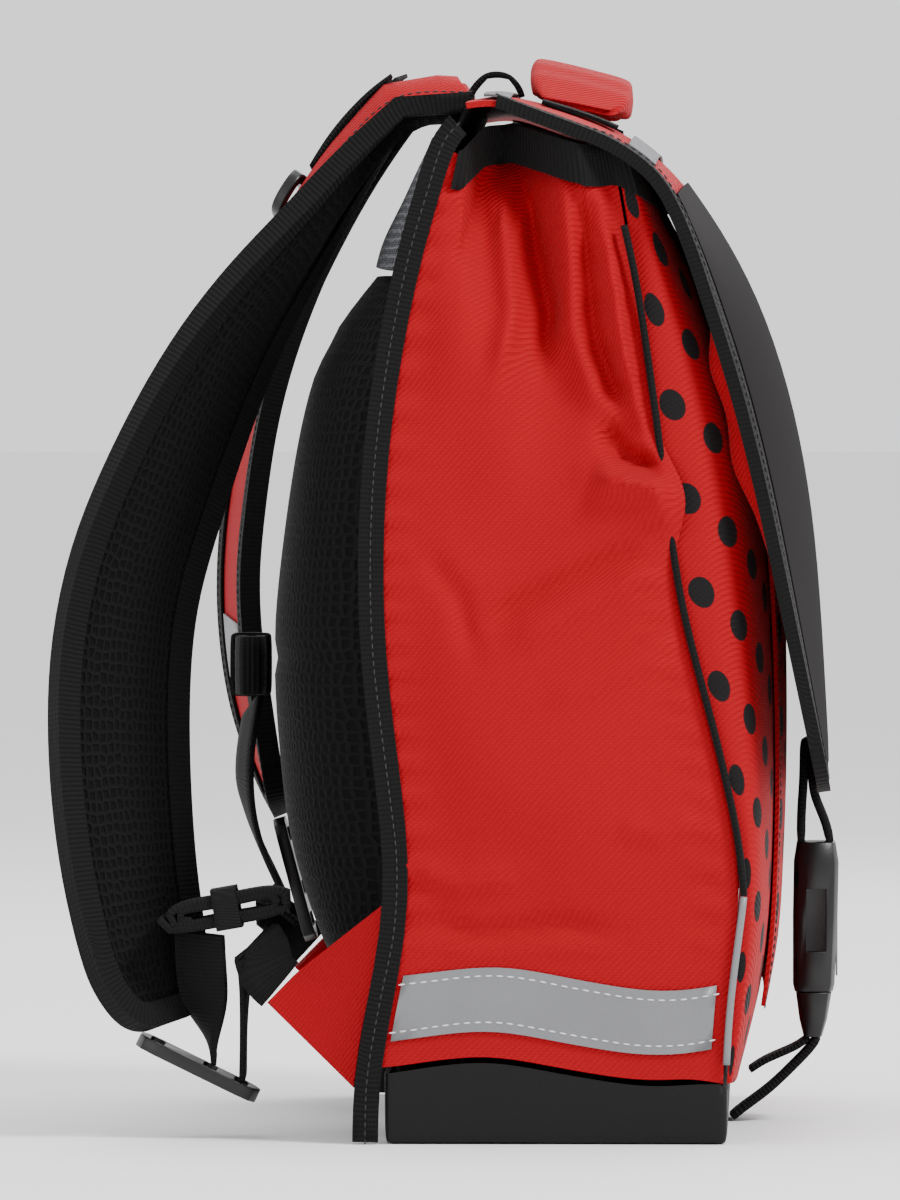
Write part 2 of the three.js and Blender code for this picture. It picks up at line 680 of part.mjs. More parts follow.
// Back wall. u runs across, v from the tray's floor to the flap's underside.
const BACK_INSET = BINDING_WIDTH + 2 * BASE_WALL;
const BACK_HALF = HALF_WIDTH - CLOTH - BINDING_CLOTH - 2 * GAP;
function backWall(u, v) {
  const top = flapSheet(u * BACK_HALF, 0.006).z - FLAP_THICKNESS - 2 * GAP;
  const z = mix(BASE_FLOOR + 1, top, v);
  const { origin, inward } = backFrame(Math.min(z, BODY_HEIGHT));
  const inset = mix(BACK_INSET, 1, smooth(v, 0.88, 1));
  const bow = BACK_BOW * (1 - u * u) * smooth(v, 0.08, 0.3) * (1 - smooth(v, 0.7, 0.95));
  const foot = origin.addScaledVector(inward, inset - bow);
  return point(u * BACK_HALF, foot.y, v > 0.88 ? mix(foot.z, z, smooth(v, 0.88, 1)) : foot.z);
}
const rearward = () => point(0, 1, 0);
const forward = () => point(0, -1, 0);

// Shoulder strap surface of one side. u runs across, v from the top seam to the tip.
const TIP_START = 0.93;
const TIP_SHARE = 0.35;
const stripHalf = (v) => {
  const round = clamp((v - TIP_START) / (1 - TIP_START), 0, 1);
  return (STRAP_WIDTH / 2) * (TIP_SHARE + (1 - TIP_SHARE) * Math.sqrt(1 - round * round));
};

function strapFrame(side, v) {
  const rows = STRAP_ROUTES[side < 0 ? "left" : "right"];
  const at = (t) =>
    point(
      side * HALF_WIDTH * column(rows, "out", t),
      SEAM_Y + STRAP_REACH * column(rows, "back", t),
      BODY_HEIGHT * column(rows, "up", t),
    );
  const low = Math.max(v - 0.01, 0);
  const high = Math.min(v + 0.01, 1);
  const along = at(high).sub(at(low)).normalize();
  const flat = X_AXIS.clone().addScaledVector(along, -along.x).normalize();
  const outer = flat.clone().cross(along);
  const turn = radians(column(rows, "turn", v));
  const across = flat.clone().multiplyScalar(Math.cos(turn));
  across.addScaledVector(outer, side * Math.sin(turn));
  outer.multiplyScalar(Math.cos(turn)).addScaledVector(flat, -side * Math.sin(turn));
  return { centre: at(v), along, across, outer };
}

const strapSurface = (side) => (u, v) => {
  const { centre, across } = strapFrame(side, v);
  return centre.addScaledVector(across, u * stripHalf(v));
};
const strapOut = (side) => (u, v) => strapFrame(side, v).outer;

// Stations along the curved pieces
const GUSSET_US = steps(12);
const GUSSET_VS = [...steps(13).map((t) => t * RIM_START), 0.975, 1];
const FRONT_US = steps(18).map((t) => 2 * t - 1);
const FRONT_VS = [...steps(8).map((t) => t * RIM_START), 1];
const BACK_US = steps(12).map((t) => 2 * t - 1);
const BACK_VS = steps(22);
const ACROSS = [-1, -0.94, -0.75, -0.5, -0.25, 0, 0.25, 0.5, 0.75, 0.94, 1];
const ROUND = [0, 0.38, 0.71, 0.92, 1];
const CORNER_START = 1 - FLAP_CORNER / FLAP_FALL;
const FLAP_TOP_VS = [0, 0.035, 0.075, 0.13, 0.19, 0.245, 0.29, 0.35, 0.43, 0.53, 0.64, 0.75];
const FLAP_VS = [...FLAP_TOP_VS, ...ROUND.map((t) => mix(CORNER_START, 1, t))];
const STRAP_VS = [
  ...steps(13).map((t) => t * TIP_START),
  ...ROUND.slice(1).map((t) => mix(TIP_START, 1, t)),
];

// Path of a bound edge down the left side, across the end and up the right side
const boundPath = (vs, ends) => [
  ...vs.map((v) => [-1, v]),
  ...ends.slice(1, -1).map((u) => [u, 1]),
  ...vs.map((v) => [1, v]).reverse(),
];

// Base tray
function trayRing(inset, height) {
  const round = Math.max(BASE_CORNER - inset, 0.6);
  const wide = HALF_WIDTH - inset - round;
  const rear = TRAY_BACK - inset - round;
  const fore = TRAY_FRONT + inset + round;
  const centres = [
    [wide, rear],
    [-wide, rear],
    [-wide, fore],
    [wide, fore],
  ];
  const arcs = centres.map(([x, y], i) =>
    steps(3).map((t) => {
      const angle = (i + t) * (Math.PI / 2);
      return [x + round * Math.cos(angle), y + round * Math.sin(angle)];
    }),
  );
  const ring = arcs.flatMap((arc, i) => {
    const [x0, y0] = arc[3];
    const [x1, y1] = arcs[(i + 1) % 4][0];
    const count = i % 2 ? 14 : 5;
    const run = steps(count).slice(1, -1);
    return [...arc, ...run.map((t) => [mix(x0, x1, t), mix(y0, y1, t)])];
  });
  return ring.map(([x, y]) => point(x, y, height(y)));
}
const flatXY = (p) => new THREE.Vector2(p.x, p.y);
piece(
  "base_tub",
  loft(
    [
      trayRing(BASE_EDGE_ROUND, () => 0),
      trayRing(BASE_EDGE_ROUND * 0.3, () => BASE_EDGE_ROUND * 0.3),
      trayRing(0, () => BASE_EDGE_ROUND),
      trayRing(0, trayHem),
      trayRing(BASE_WALL, trayHem),
      trayRing(BASE_WALL, () => BASE_FLOOR),
    ],
    flatXY,
  ),
  COATED_BLACK,
);

// Walls of the body
const frontOut = (u) => point(3 * u ** 9, -1, 0);
piece("front_panel", cloth(frontWall, frontOut, FRONT_US, FRONT_VS, CLOTH), RED_TWILL);
piece("back_panel", cloth(backWall, rearward, BACK_US, BACK_VS, CLOTH), BLACK_MESH);

const pocketTop = (POCKET_FOOT + POCKET_HEIGHT - FRONT_FOOT) / (MOUTH - FRONT_FOOT);
const pocketFoot = (POCKET_FOOT - FRONT_FOOT) / (MOUTH - FRONT_FOOT);
function pocketWall(u, v) {
  const share = (u * POCKET_WIDTH) / BODY_WIDTH;
  const tangent = Math.abs(share) / (1 - share ** FRONT_SQUARENESS) ** (1 / FRONT_SQUARENESS);
  const angle = (Math.atan(tangent) * 2) / Math.PI;
  const puff = POCKET_PUFF * smooth(1 - Math.abs(u), 0, 0.2) * smooth(v, 0, 0.12);
  const base = frontWall(Math.sign(u) * angle, mix(pocketFoot, pocketTop, v));
  return base.add(point(0, -puff - GAP, 0));
}
const POCKET_US = [-1, -0.92, -0.8, -0.5, -0.2, 0.2, 0.5, 0.8, 0.92, 1];
piece("front_pocket", cloth(pocketWall, forward, POCKET_US, steps(8), CLOTH, CLOTH), RED_TWILL);

for (const [name, side] of [
  ["left", -1],
  ["right", 1],
]) {
  const surface = gusset(side);
  const outward = () => point(side, 0, 0);
  piece(`side_panel_${name}`, cloth(surface, outward, GUSSET_US, GUSSET_VS, CLOTH), RED_TWILL);

  // Bound back seam
  const seamHeights = [1, BASE_HEIGHT / 2, ...GUSSET_VS.map((v) => surface(0, v).z), BODY_HEIGHT - 5];
  const seamFrames = seamHeights.map((z) => {
    const { origin, inward } = backFrame(z);
    origin.setX(side * HALF_WIDTH);
    return { origin, a: inward, b: point(side, 0, 0) };
  });
  piece(`back_binding_${name}`, sweep(channel(BINDING_WIDTH, -CLOTH, 0), seamFrames), BLACK_TAPE);

  // Piping in the front seam, black above and reflective below
  const pipingFrames = (low, high, count) => {
    const path = steps(count).map((t) => {
      const z = mix(low, high, t);
      return point(side * (HALF_WIDTH + PIPING / 2 + GAP), frontEdge(z), z);
    });
    return pathFrames(path, path.map(() => X_AXIS));
  };
  const split = PIPING_SPLIT * BODY_HEIGHT;
  const bottom = BASE_HEIGHT + PIPING;
  const top = MOUTH - RIM_HEIGHT - PIPING;
  piece(`piping_${name}`, sweep(disc(PIPING / 2, 6), pipingFrames(split, top, 16)), BLACK_TAPE);
  const lowFrames = pipingFrames(bottom, split - GAP, 6);
  piece(`reflective_piping_${name}`, sweep(disc(PIPING / 2, 6), lowFrames), REFLECTIVE);

  // Reflective tape across the gusset
  const stripEdge = (BINDING_WIDTH + 1) / (2 * HALF_DEPTH);
  const footV = (z) => (z - BASE_HEIGHT) / (MOUTH - BASE_HEIGHT);
  const stripUs = steps(12).map((t) => mix(stripEdge, 0.965, t));
  const stripVs = steps(2).map((t) => footV(TAPE_FOOT + t * TAPE_WIDTH));
  const strip = cloth(surface, outward, stripUs, stripVs, TAPE_THICKNESS, TAPE_THICKNESS + GAP);
  piece(`reflective_strip_${name}`, strip, REFLECTIVE);
}

// Binding on the mouth: down the left gusset's hem, across the front and back up the right one
const hemUs = GUSSET_US.filter((u) => u > 0.14);
const hemFrame = (surface, toward) => (u) => {
  const b = normalOf(surface, u, 1, toward(u, 1));
  const down = surface(u, 0.98).sub(surface(u, 1));
  const a = down.addScaledVector(b, -down.dot(b)).normalize();
  return { origin: surface(u, 1), a, b };
};
const leftHem = hemUs.map(hemFrame(gusset(-1), () => point(-1, 0, 0)));
const frontHem = FRONT_US.map(hemFrame(frontWall, frontOut));
const rightHem = hemUs.map(hemFrame(gusset(1), () => point(1, 0, 0)));
const rimFrames = [...leftHem, ...frontHem, ...rightHem.reverse()];
piece("rim_binding", sweep(channel(RIM_HEIGHT, -CLOTH - GAP, GAP), rimFrames), BLACK_TAPE);

// Back pads and yoke
const PAD_US = [-1, -0.9, -0.65, -0.3, 0, 0.3, 0.65, 0.9, 1];
const BACK_SPAN = BODY_HEIGHT - BASE_FLOOR;
const backV = (z) => (z - BASE_FLOOR) / BACK_SPAN;
const cushion = (place, depth, us, vs) => {
  const inner = vs.map((v) => us.map((u) => place(u, v)));
  const outer = vs.map((v, i) => us.map((u, j) => inner[i][j].clone().add(depth(u, v))));
  return wall(outer, inner);
};
for (const [name, side] of [
  ["left", -1],
  ["right", 1],
]) {
  const place = (u, v) => {
    const half = (PAD_WIDTH / 2) * column(PAD_ROWS, "width", v);
    const x = side * (PAD_CHANNEL / 2 + PAD_WIDTH / 2) + u * half;
    return backWall(x / BACK_HALF, backV(PAD_FOOT + v * PAD_HEIGHT)).add(point(0, PAD_CLEAR, 0));
  };
  const depth = (u, v) => {
    const round = Math.max(1 - Math.abs(u) ** 3.2, 0) ** 0.62;
    return point(0, 3 + PAD_DEPTH * column(PAD_ROWS, "depth", v) * round, 0);
  };
  piece(`back_pad_${name}`, cushion(place, depth, PAD_US, steps(11)), BLACK_MESH);
}
const YOKE_FOOT = PAD_FOOT + PAD_HEIGHT + 4;
const YOKE_TOP = BODY_HEIGHT - 12;
const yokePlace = (u, v) => {
  const seat = backWall(u * YOKE_SHARE, backV(mix(YOKE_FOOT, YOKE_TOP, v)));
  return seat.add(point(0, 2 * PAD_CLEAR, 0));
};
const yokeDepth = (u, v) => {
  const round = Math.max(1 - Math.abs(u) ** 4, 0) ** 0.5;
  const edge = Math.sin(Math.PI * mix(0.12, 0.97, v)) ** 0.5;
  return point(0, 2 + YOKE_DEPTH * mix(1, 0.4, v) * round * edge, 0);
};
piece("back_yoke", cushion(yokePlace, yokeDepth, PAD_US, steps(4)), GREY_MESH);

// Corner tabs that anchor the lower webbing, as a patch from the seam to the short outer edge
const tabSurface = (side) => (u, v) => {
  const z = TAB_FOOT + TAB_HEIGHT * v;
  const seam = backEdge(z) + GAP + BINDING_CLOTH + 1.5 * GAP;
  const outerY = backEdge(TAB_FOOT) + TAB_REACH * (0.9 - 0.3 * v);
  const outerZ = TAB_FOOT + TAB_HEIGHT * (0.45 + 0.17 * v);
  const x = mix(HALF_WIDTH - TAB_THICKNESS - 1, HALF_WIDTH - TAB_REACH / 2, u);
  return point(side * x, mix(seam, outerY, u), mix(z, outerZ, u));
};
for (const [name, side] of [
  ["left", -1],
  ["right", 1],
]) {
  const patch = cloth(tabSurface(side), () => point(side, 0, 0), steps(3), steps(5), TAB_THICKNESS);
  piece(`corner_tab_${name}`, patch, RED_TWILL);
}

// Flap with its film, binding and tapes
piece("flap", cloth(flapSurface, flapOut, ACROSS, FLAP_VS, FLAP_THICKNESS), RED_TWILL);

const COVER_START = flapAt(0.6);
const COVER_END = 1 - COVER_INSET / FLAP_FALL;
const coverSurface = (u, v) => flapSheet(u * flapHalf(v, COVER_INSET), v);
const COVER_VS = [
  COVER_START,
  ...FLAP_VS.filter((v) => v > COVER_START + 0.02 && v <= CORNER_START),
  ...ROUND.slice(1).map((t) => mix(CORNER_START, COVER_END, t)),
];
const coverLift = COVER_THICKNESS + 3 * GAP;
const cover = cloth(coverSurface, flapOut, ACROSS, COVER_VS, COVER_THICKNESS, coverLift);
piece("flap_cover", cover, DARK_FILM);

const FLAP_EDGE_VS = FLAP_VS.slice(1);
const towardFlap = (u, v, from) => flapSheet(0, Math.min(v, 0.9)).sub(from);
const flapEdge = edgeFrames(flapSurface, flapOut, boundPath(FLAP_EDGE_VS, ACROSS), towardFlap);
piece("flap_binding", sweep(channel(BINDING_WIDTH, -FLAP_THICKNESS - GAP, GAP), flapEdge), BLACK_TAPE);

for (const [name, reach] of [
  ["rear", 0.08],
  ["front", 0.49],
]) {
  const from = flapAt(reach - (0.5 * RIBBON_WIDTH) / FLAP_REACH);
  const to = flapAt(reach + (0.5 * RIBBON_WIDTH) / FLAP_REACH);
  const strip = (u, v) => flapSheet(u * (FLAP_WIDTH / 2 - BINDING_WIDTH), mix(from, to, v));
  const lift = RIBBON_THICKNESS + GAP;
  const ribbon = cloth(strip, flapOut, ACROSS, steps(2), RIBBON_THICKNESS, lift);
  piece(`flap_tape_${name}`, ribbon, GREY_RIBBON);
}

// Carrying handle across the crown, with its sewn ends
const HANDLE_Y = SEAM_Y - 0.305 * FLAP_REACH;
const handleFloor = (x) => flapSheet(x, flapAt((SEAM_Y - HANDLE_Y) / FLAP_REACH)).z;
const HANDLE_STEPS = 14;
const handleTilt = point(0, Math.cos(radians(HANDLE_TURN)), Math.sin(radians(HANDLE_TURN)));
const handlePath = steps(HANDLE_STEPS).map((t) => {
  const s = 2 * t - 1;
  const arch = (1 - Math.abs(s) ** 2.4) ** 0.9;
  const x = (s * HANDLE_LENGTH) / 2;
  const low = handleFloor(HANDLE_LENGTH / 2) + ANCHOR_LENGTH / 8;
  return point(x, HANDLE_Y, mix(low, handleFloor(0) + HANDLE_RISE, arch));
});
const handleFrames = pathFrames(handlePath, handlePath.map(() => handleTilt)).map((frame, i) => {
  const fromEnd = Math.min(i, HANDLE_STEPS - i) / HANDLE_STEPS;
  frame.a.multiplyScalar(mix(0.72, 1, smooth(fromEnd, 0, 0.12)));
  frame.b.multiplyScalar(mix(0.3, 1, smooth(fromEnd, 0, 0.2)));
  return frame;
});
const handleSection = pill(HANDLE_WIDTH, HANDLE_THICKNESS, HANDLE_THICKNESS / 2);
piece("handle", sweep(handleSection, handleFrames), RED_TWILL);

for (const [name, side] of [
  ["left", -1],
  ["right", 1],
]) {
  const from = flapAt((SEAM_Y - HANDLE_Y - ANCHOR_WIDTH / 2) / FLAP_REACH);
  const to = flapAt((SEAM_Y - HANDLE_Y + ANCHOR_WIDTH / 2) / FLAP_REACH);
  const start = HANDLE_LENGTH / 2 + 2;
  const patch = (u, v) => flapSheet(side * (start + ANCHOR_LENGTH * u), mix(from, to, v));
  const lift = WEBBING + GAP;
  const anchor = cloth(patch, flapOut, steps(3), steps(4), WEBBING, lift);
  piece(`handle_anchor_${name}`, anchor, BLACK_TAPE);
}

// Haul loop from the back seam over the rear tape
const haulPath = [
  [2, -1],
  [2, 3.5],
  [0, 6.5],
  [-4, HAUL_RISE - 0.8],
  [-9, HAUL_RISE],
  [-14, HAUL_RISE - 1.2],
  [-17.5, 6],
  [-18.6, 2.6],
].map(([dy, dz]) => point(0, SEAM_Y + dy, BODY_HEIGHT * 1.01 + dz));
const haulFrames = pathFrames(haulPath, haulPath.map(() => X_AXIS));
piece("haul_loop", sweep(bar(HAUL_WIDTH, WEBBING), haulFrames), BLACK_TAPE);

// Shoulder straps and the hardware at their ends
const LOCK_SLOTS = [-0.36, 0.08, 0.34];
const ROLL_TURNS = 2.1;
const ROLL_STEPS = 28;
const ROLL_PITCH = 2.4;
const TAB_START = 0.06;
const RING_STEP = 0.032;
const RING_SHARE = 0.66;
const PATCH_START = 0.66;
const STRAP_US = [-1, -0.62, -0.25, 0.25, 0.62, 1];
for (const [name, side] of [
  ["left", -1],
  ["right", 1],
]) {
  const surface = strapSurface(side);
  const outward = strapOut(side);
  const end = ENDS[name];

  // Foam layer, thin under the binding
  const top = STRAP_VS.map((v) => STRAP_US.map((u) => surface(u, v)));
  const under = STRAP_VS.map((v, i) =>
    STRAP_US.map((u, j) => {
      const fromEdge = (1 - Math.abs(u)) * stripHalf(v);
      const fromTip = (1 - v) * BODY_HEIGHT * 0.5;
      const puff = smooth(Math.min(fromEdge, fromTip), BINDING_WIDTH * 1.15, BINDING_WIDTH * 2);
      return top[i][j].clone().addScaledVector(outward(u, v), -mix(STRAP_EDGE, STRAP_FOAM, puff));
    }),
  );
  piece(`strap_pad_${name}`, wall(top, under), BLACK_MESH);
  const redLayer = cloth(surface, outward, STRAP_US, STRAP_VS, CLOTH, CLOTH + GAP);
  piece(`strap_cover_${name}`, redLayer, RED_TWILL);
  const towardStrap = (u, v, from) => strapFrame(side, Math.min(v, 0.94)).centre.sub(from);
  const boundEdge = boundPath(STRAP_VS, steps(4).map((t) => 2 * t - 1));
  const edge = edgeFrames(surface, outward, boundEdge, towardStrap);
  const tape = sweep(channel(BINDING_WIDTH, -STRAP_EDGE - 4 * GAP, CLOTH + 3 * GAP), edge);
  piece(`strap_binding_${name}`, tape, BLACK_TAPE);

  // Reflective patch low on the outer face
  const patchUs = steps(3).map((t) => ((2 * t - 1) * REFLECTOR_WIDTH) / STRAP_WIDTH);
  const patchVs = steps(4).map((t) => PATCH_START + (t * REFLECTOR_LENGTH) / BODY_HEIGHT);
  const patchLift = CLOTH + 2 * GAP + TAPE_THICKNESS;
  const patch = cloth(surface, outward, patchUs, patchVs, TAPE_THICKNESS, patchLift);
  piece(`strap_reflector_${name}`, patch, REFLECTIVE);

  // Webbing tab and ring high on the outer face
  const tabUs = steps(2).map((t) => ((2 * t - 1) * STRAP_TAB_WIDTH) / STRAP_WIDTH);
  const tabVs = steps(6).map((t) => TAB_START + (t * STRAP_TAB_LENGTH) / BODY_HEIGHT);
  const tabLift = CLOTH + 4 * GAP + WEBBING;
  piece(`strap_tab_${name}`, cloth(surface, outward, tabUs, tabVs, WEBBING, tabLift), BLACK_TAPE);
  const ringAt = strapFrame(side, TAB_START + STRAP_TAB_LENGTH / BODY_HEIGHT + RING_STEP);
  const ringHeight = RING_WIDTH * RING_SHARE;
  const ringOutline = pill(RING_WIDTH, ringHeight, RING_BAR * 1.6);
  const ringHole = pill(RING_WIDTH - 2 * RING_BAR, ringHeight - 2 * RING_BAR, RING_BAR * 0.7);
  const ringCentre = ringAt.centre.clone().addScaledVector(ringAt.outer, tabLift + RING_BAR / 4);
  const ring = plate(ringOutline, [ringHole], RING_BAR, ringCentre, ringAt.across, ringAt.along);
  piece(`strap_ring_${name}`, ring, BLACK_PLASTIC);

  // Ladder lock below the strap's tip
  const fall = radians(end.lockFall);
  const tip = strapFrame(side, 1).centre;
  const run = point(0, -Math.cos(fall), -Math.sin(fall));
  const lift = run.clone().cross(X_AXIS).multiplyScalar(end.lockFace);
  const rear = tip.clone().add(point(0, end.lockBack, -end.lockDrop).multiplyScalar(LOCK_LENGTH));
  const lockCentre = rear.clone().addScaledVector(run, LOCK_LENGTH / 2);
  const slot = pill(WEBBING_WIDTH + 1.4, 6, 2);
  const slots = LOCK_SLOTS.map((share) => shifted(slot, 0, share * LOCK_LENGTH));
  const lockOutline = pill(LOCK_WIDTH, LOCK_LENGTH, LOCK_WIDTH * 0.28);
  const lock = plate(lockOutline, slots, LOCK_THICKNESS, lockCentre, X_AXIS, run);
  piece(`ladder_lock_${name}`, lock, BLACK_PLASTIC);

  // Lower webbing from the corner tab to the lock's front slot
  const tabEdge = tabSurface(side)(1, 0.5);
  const edgeLine = tabSurface(side)(1, 1).sub(tabSurface(side)(1, 0)).normalize();
  const away = edgeLine.clone().cross(X_AXIS).normalize();
  away.multiplyScalar(Math.sign(away.y));
  const start = tabEdge.addScaledVector(away, WEBBING).add(point((-side * TAB_THICKNESS) / 2, 0, 0));
  const finishAt = lockCentre.clone().addScaledVector(run, LOCK_SLOTS[2] * LOCK_LENGTH);
  finishAt.addScaledVector(lift, LOCK_THICKNESS / 2 + WEBBING);
  const rows = WEBBING_ROUTES[name];
  const webStations = steps(12);
  const webPath = webStations.map((t) => {
    const base = start.clone().lerp(finishAt, column(rows, "along", t));
    const offset = point(0, column(rows, "back", t), column(rows, "up", t));
    return base.addScaledVector(offset, STRAP_WIDTH);
  });
  const webWidths = webStations.map((t) => edgeLine.clone().lerp(X_AXIS, column(rows, "flat", t)));
  const web = sweep(bar(WEBBING_WIDTH, WEBBING), pathFrames(webPath, webWidths));
  piece(`lower_webbing_${name}`, web, BLACK_TAPE);

  // Rolled tail with its keeper band
  const rollCentre = point(
    side * HALF_WIDTH * end.rollOut,
    SEAM_Y + STRAP_REACH * end.rollBack,
    BODY_HEIGHT * end.rollUp,
  );
  const long = point(...end.rollLength).normalize();
  const wide = point(...end.rollWidth);
  const thick = long.clone().cross(wide).normalize();
  const rollPath = steps(ROLL_STEPS).map((t) => {
    const angle = ROLL_TURNS * 2 * Math.PI * t;
    const shrink = (ROLL_PITCH * WEBBING * ROLL_TURNS * t) / 2;
    const c = Math.cos(angle);
    const sn = Math.sin(angle);
    const waist = mix(0.7, 1, c * c);
    const halfHeight = (BUNDLE_HEIGHT / 2) * waist - WEBBING / 2 - shrink;
    const halfLength = (BUNDLE_LENGTH - WEBBING) / 2 - shrink * 2;
    const p = rollCentre.clone().addScaledVector(long, halfLength * c);
    return p.addScaledVector(thick, halfHeight * Math.sign(sn) * Math.abs(sn) ** 0.7);
  });
  const roll = sweep(bar(WEBBING_WIDTH, WEBBING), pathFrames(rollPath, rollPath.map(() => wide)));
  piece(`webbing_bundle_${name}`, roll, BLACK_TAPE);
  const bandSize = [WEBBING_WIDTH + 2 * WEBBING, BUNDLE_HEIGHT * 0.7 + 2 * WEBBING + 1];
  const bandHole = pill(bandSize[0] - 2 * WEBBING + 0.8, bandSize[1] - 2 * WEBBING, 0.8);
  const band = plate(pill(bandSize[0] + 0.8, bandSize[1], 2), [bandHole], KEEPER_WIDTH, rollCentre, wide, thick);
  piece(`keeper_band_${name}`, band, BLACK_TAPE);

  // Tail from the lock's middle slot to the roll
  const tailFrom = lockCentre.clone().addScaledVector(run, LOCK_SLOTS[1] * LOCK_LENGTH);
  tailFrom.addScaledVector(lift, LOCK_THICKNESS / 2 + 2 * WEBBING);
  const tailTo = rollCentre.clone().add(point(-side * end.tailIn * WEBBING_WIDTH, 0, 0));
  tailTo.add(point(0, end.tailBack, -end.tailDrop).multiplyScalar(BUNDLE_HEIGHT));
  const tailPath = steps(8).map((t) => {
    const p = tailFrom.clone().lerp(tailTo, t);
    const bow = Math.sin(Math.PI * t);
    return p.add(point(-side * end.tailSwing * bow, end.tailBow * bow, 0).multiplyScalar(STRAP_WIDTH));
  });
  const tail = sweep(bar(WEBBING_WIDTH, WEBBING), pathFrames(tailPath, tailPath.map(() => X_AXIS)));
  piece(`webbing_tail_${name}`, tail, BLACK_TAPE);
}

// Front buckle, closed, hanging from the flap's lip
const BUCKLE_Y = -1.475 * HALF_DEPTH;
const BODY_FOOT = BUCKLE_FOOT + TONGUE_LENGTH + GAP;
const BODY_TOP = BODY_FOOT + BUCKLE_LENGTH;
const bucklePiece = (stations) =>
  loft(
    stations.map(([z, width, depth, shift]) =>
      pill(width, depth, Math.min(width, depth) * 0.32).map(([p, q]) => point(p, BUCKLE_Y + shift + q, z)),
    ),
    flatXY,
  );
const shell = bucklePiece([
  [BODY_FOOT, BUCKLE_WIDTH * 0.92, BUCKLE_THICKNESS * 0.85, 1],
  [BODY_FOOT + 3, BUCKLE_WIDTH, BUCKLE_THICKNESS * 0.93, 1],
  [BODY_FOOT + BUCKLE_LENGTH * 0.5, BUCKLE_WIDTH, BUCKLE_THICKNESS, 0.4],
  [BODY_TOP - 8, BUCKLE_WIDTH * 0.96, BUCKLE_THICKNESS, 0],
  [BODY_TOP, BUCKLE_WIDTH * 0.84, BUCKLE_THICKNESS * 0.86, 0],
]);
const windows = [-1, 1].map((side) => {
  const window = new THREE.BoxGeometry(BUCKLE_WIDTH * 0.3, BUCKLE_THICKNESS * 0.45, BUCKLE_LENGTH * 0.42);
  return window.translate((side * BUCKLE_WIDTH) / 2, BUCKLE_Y, BODY_FOOT + BUCKLE_LENGTH * 0.48);
});
piece("buckle_body", cut(shell, ...windows), BLACK_PLASTIC);
piece(
  "buckle_tongue",
  bucklePiece([
    [BUCKLE_FOOT, BUCKLE_WIDTH * 0.82, BUCKLE_THICKNESS * 0.4, 1.4],
    [BUCKLE_FOOT + TONGUE_LENGTH * 0.4, BUCKLE_WIDTH * 0.86, BUCKLE_THICKNESS * 0.62, 1.2],
    [BUCKLE_FOOT + TONGUE_LENGTH, BUCKLE_WIDTH * 0.94, BUCKLE_THICKNESS * 0.8, 1],
  ]),
  BLACK_PLASTIC,
);
const patchFace = BUCKLE_Y - BUCKLE_THICKNESS / 2;
const patchAt = point(0, patchFace - GAP - TAPE_THICKNESS / 2, BODY_FOOT + BUCKLE_LENGTH * 0.5);
const patchShape = pill(BUCKLE_WIDTH * 0.6, BUCKLE_LENGTH * 0.8, 2);
piece(
  "buckle_reflector",
  plate(patchShape, [], TAPE_THICKNESS, patchAt, X_AXIS, point(0, 0, 1)),
  REFLECTIVE,
);
const strand = (name, rows) => {
  const path = rows.map(([y, z]) => point(0, y, z));
  const ribbon = sweep(bar(BUCKLE_WEBBING_WIDTH, WEBBING), pathFrames(path, path.map(() => X_AXIS)));
  piece(name, ribbon, BLACK_TAPE);
};
const HANG = -1.45 * HALF_DEPTH;
const HANG_LENGTH = 40;
const hangFold = BODY_TOP + HANG_LENGTH;
strand("buckle_webbing_upper", [
  [BUCKLE_Y - BUCKLE_THICKNESS * 0.3, BODY_TOP + 1],
  [BUCKLE_Y - BUCKLE_THICKNESS * 0.2, BODY_TOP + 9],
  [HANG - 1, BODY_TOP + 18],
  [HANG, BODY_TOP + 26],
  [HANG, hangFold - 2],
  [HANG + 0.5, hangFold],
  [HANG + 1.6, hangFold + 0.6],
  [HANG + 2.7, hangFold],
  [HANG + 3.2, hangFold - 2],
  [HANG + 3.2, BODY_TOP + 24],
  [HANG + 4.2, BODY_TOP + 14],
  [BUCKLE_Y + BUCKLE_THICKNESS * 0.34, BODY_TOP + 1],
]);
const tongueY = BUCKLE_Y + 1.4;
strand("buckle_webbing_lower", [
  [tongueY - 1.5, BUCKLE_FOOT - 1],
  [tongueY + 1, BUCKLE_FOOT - 5],
  [tongueY + 8, BUCKLE_FOOT - 12],
  [tongueY + 17, BUCKLE_FOOT - 21],
  [TRAY_FRONT - 6, 5.6],
  [TRAY_FRONT - 1.6, 2],
]);
strand("buckle_webbing_tail", [
  [tongueY + 2, BUCKLE_FOOT - 0.8],
  [tongueY + 6, BUCKLE_FOOT - 4],
  [tongueY + 13, BUCKLE_FOOT - 7],
  [tongueY + 20, BUCKLE_FOOT - 10],
  [tongueY + 25, BUCKLE_FOOT - 13.5],
]);

export default group;
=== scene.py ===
"""School satchel with flap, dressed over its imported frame: cloth, mesh, webbing and plastic."""
import math

import bmesh
import bpy
import numpy as np
from mathutils import Matrix, Vector


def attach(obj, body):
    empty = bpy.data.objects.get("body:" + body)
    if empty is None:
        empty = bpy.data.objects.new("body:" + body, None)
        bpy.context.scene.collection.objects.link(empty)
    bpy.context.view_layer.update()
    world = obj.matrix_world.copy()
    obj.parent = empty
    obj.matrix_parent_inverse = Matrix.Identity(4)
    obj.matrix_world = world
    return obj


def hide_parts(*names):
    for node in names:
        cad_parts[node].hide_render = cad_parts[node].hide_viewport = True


bl_info = {
    "name": "School satchel",
    "version": (1, 0, 0),
    "blender": (4, 5, 0),
    "location": "View3D > Sidebar > Satchel",
    "description": "Dresses a school satchel: twill, spacer mesh, webbing, film and stage",
    "category": "Object",
}

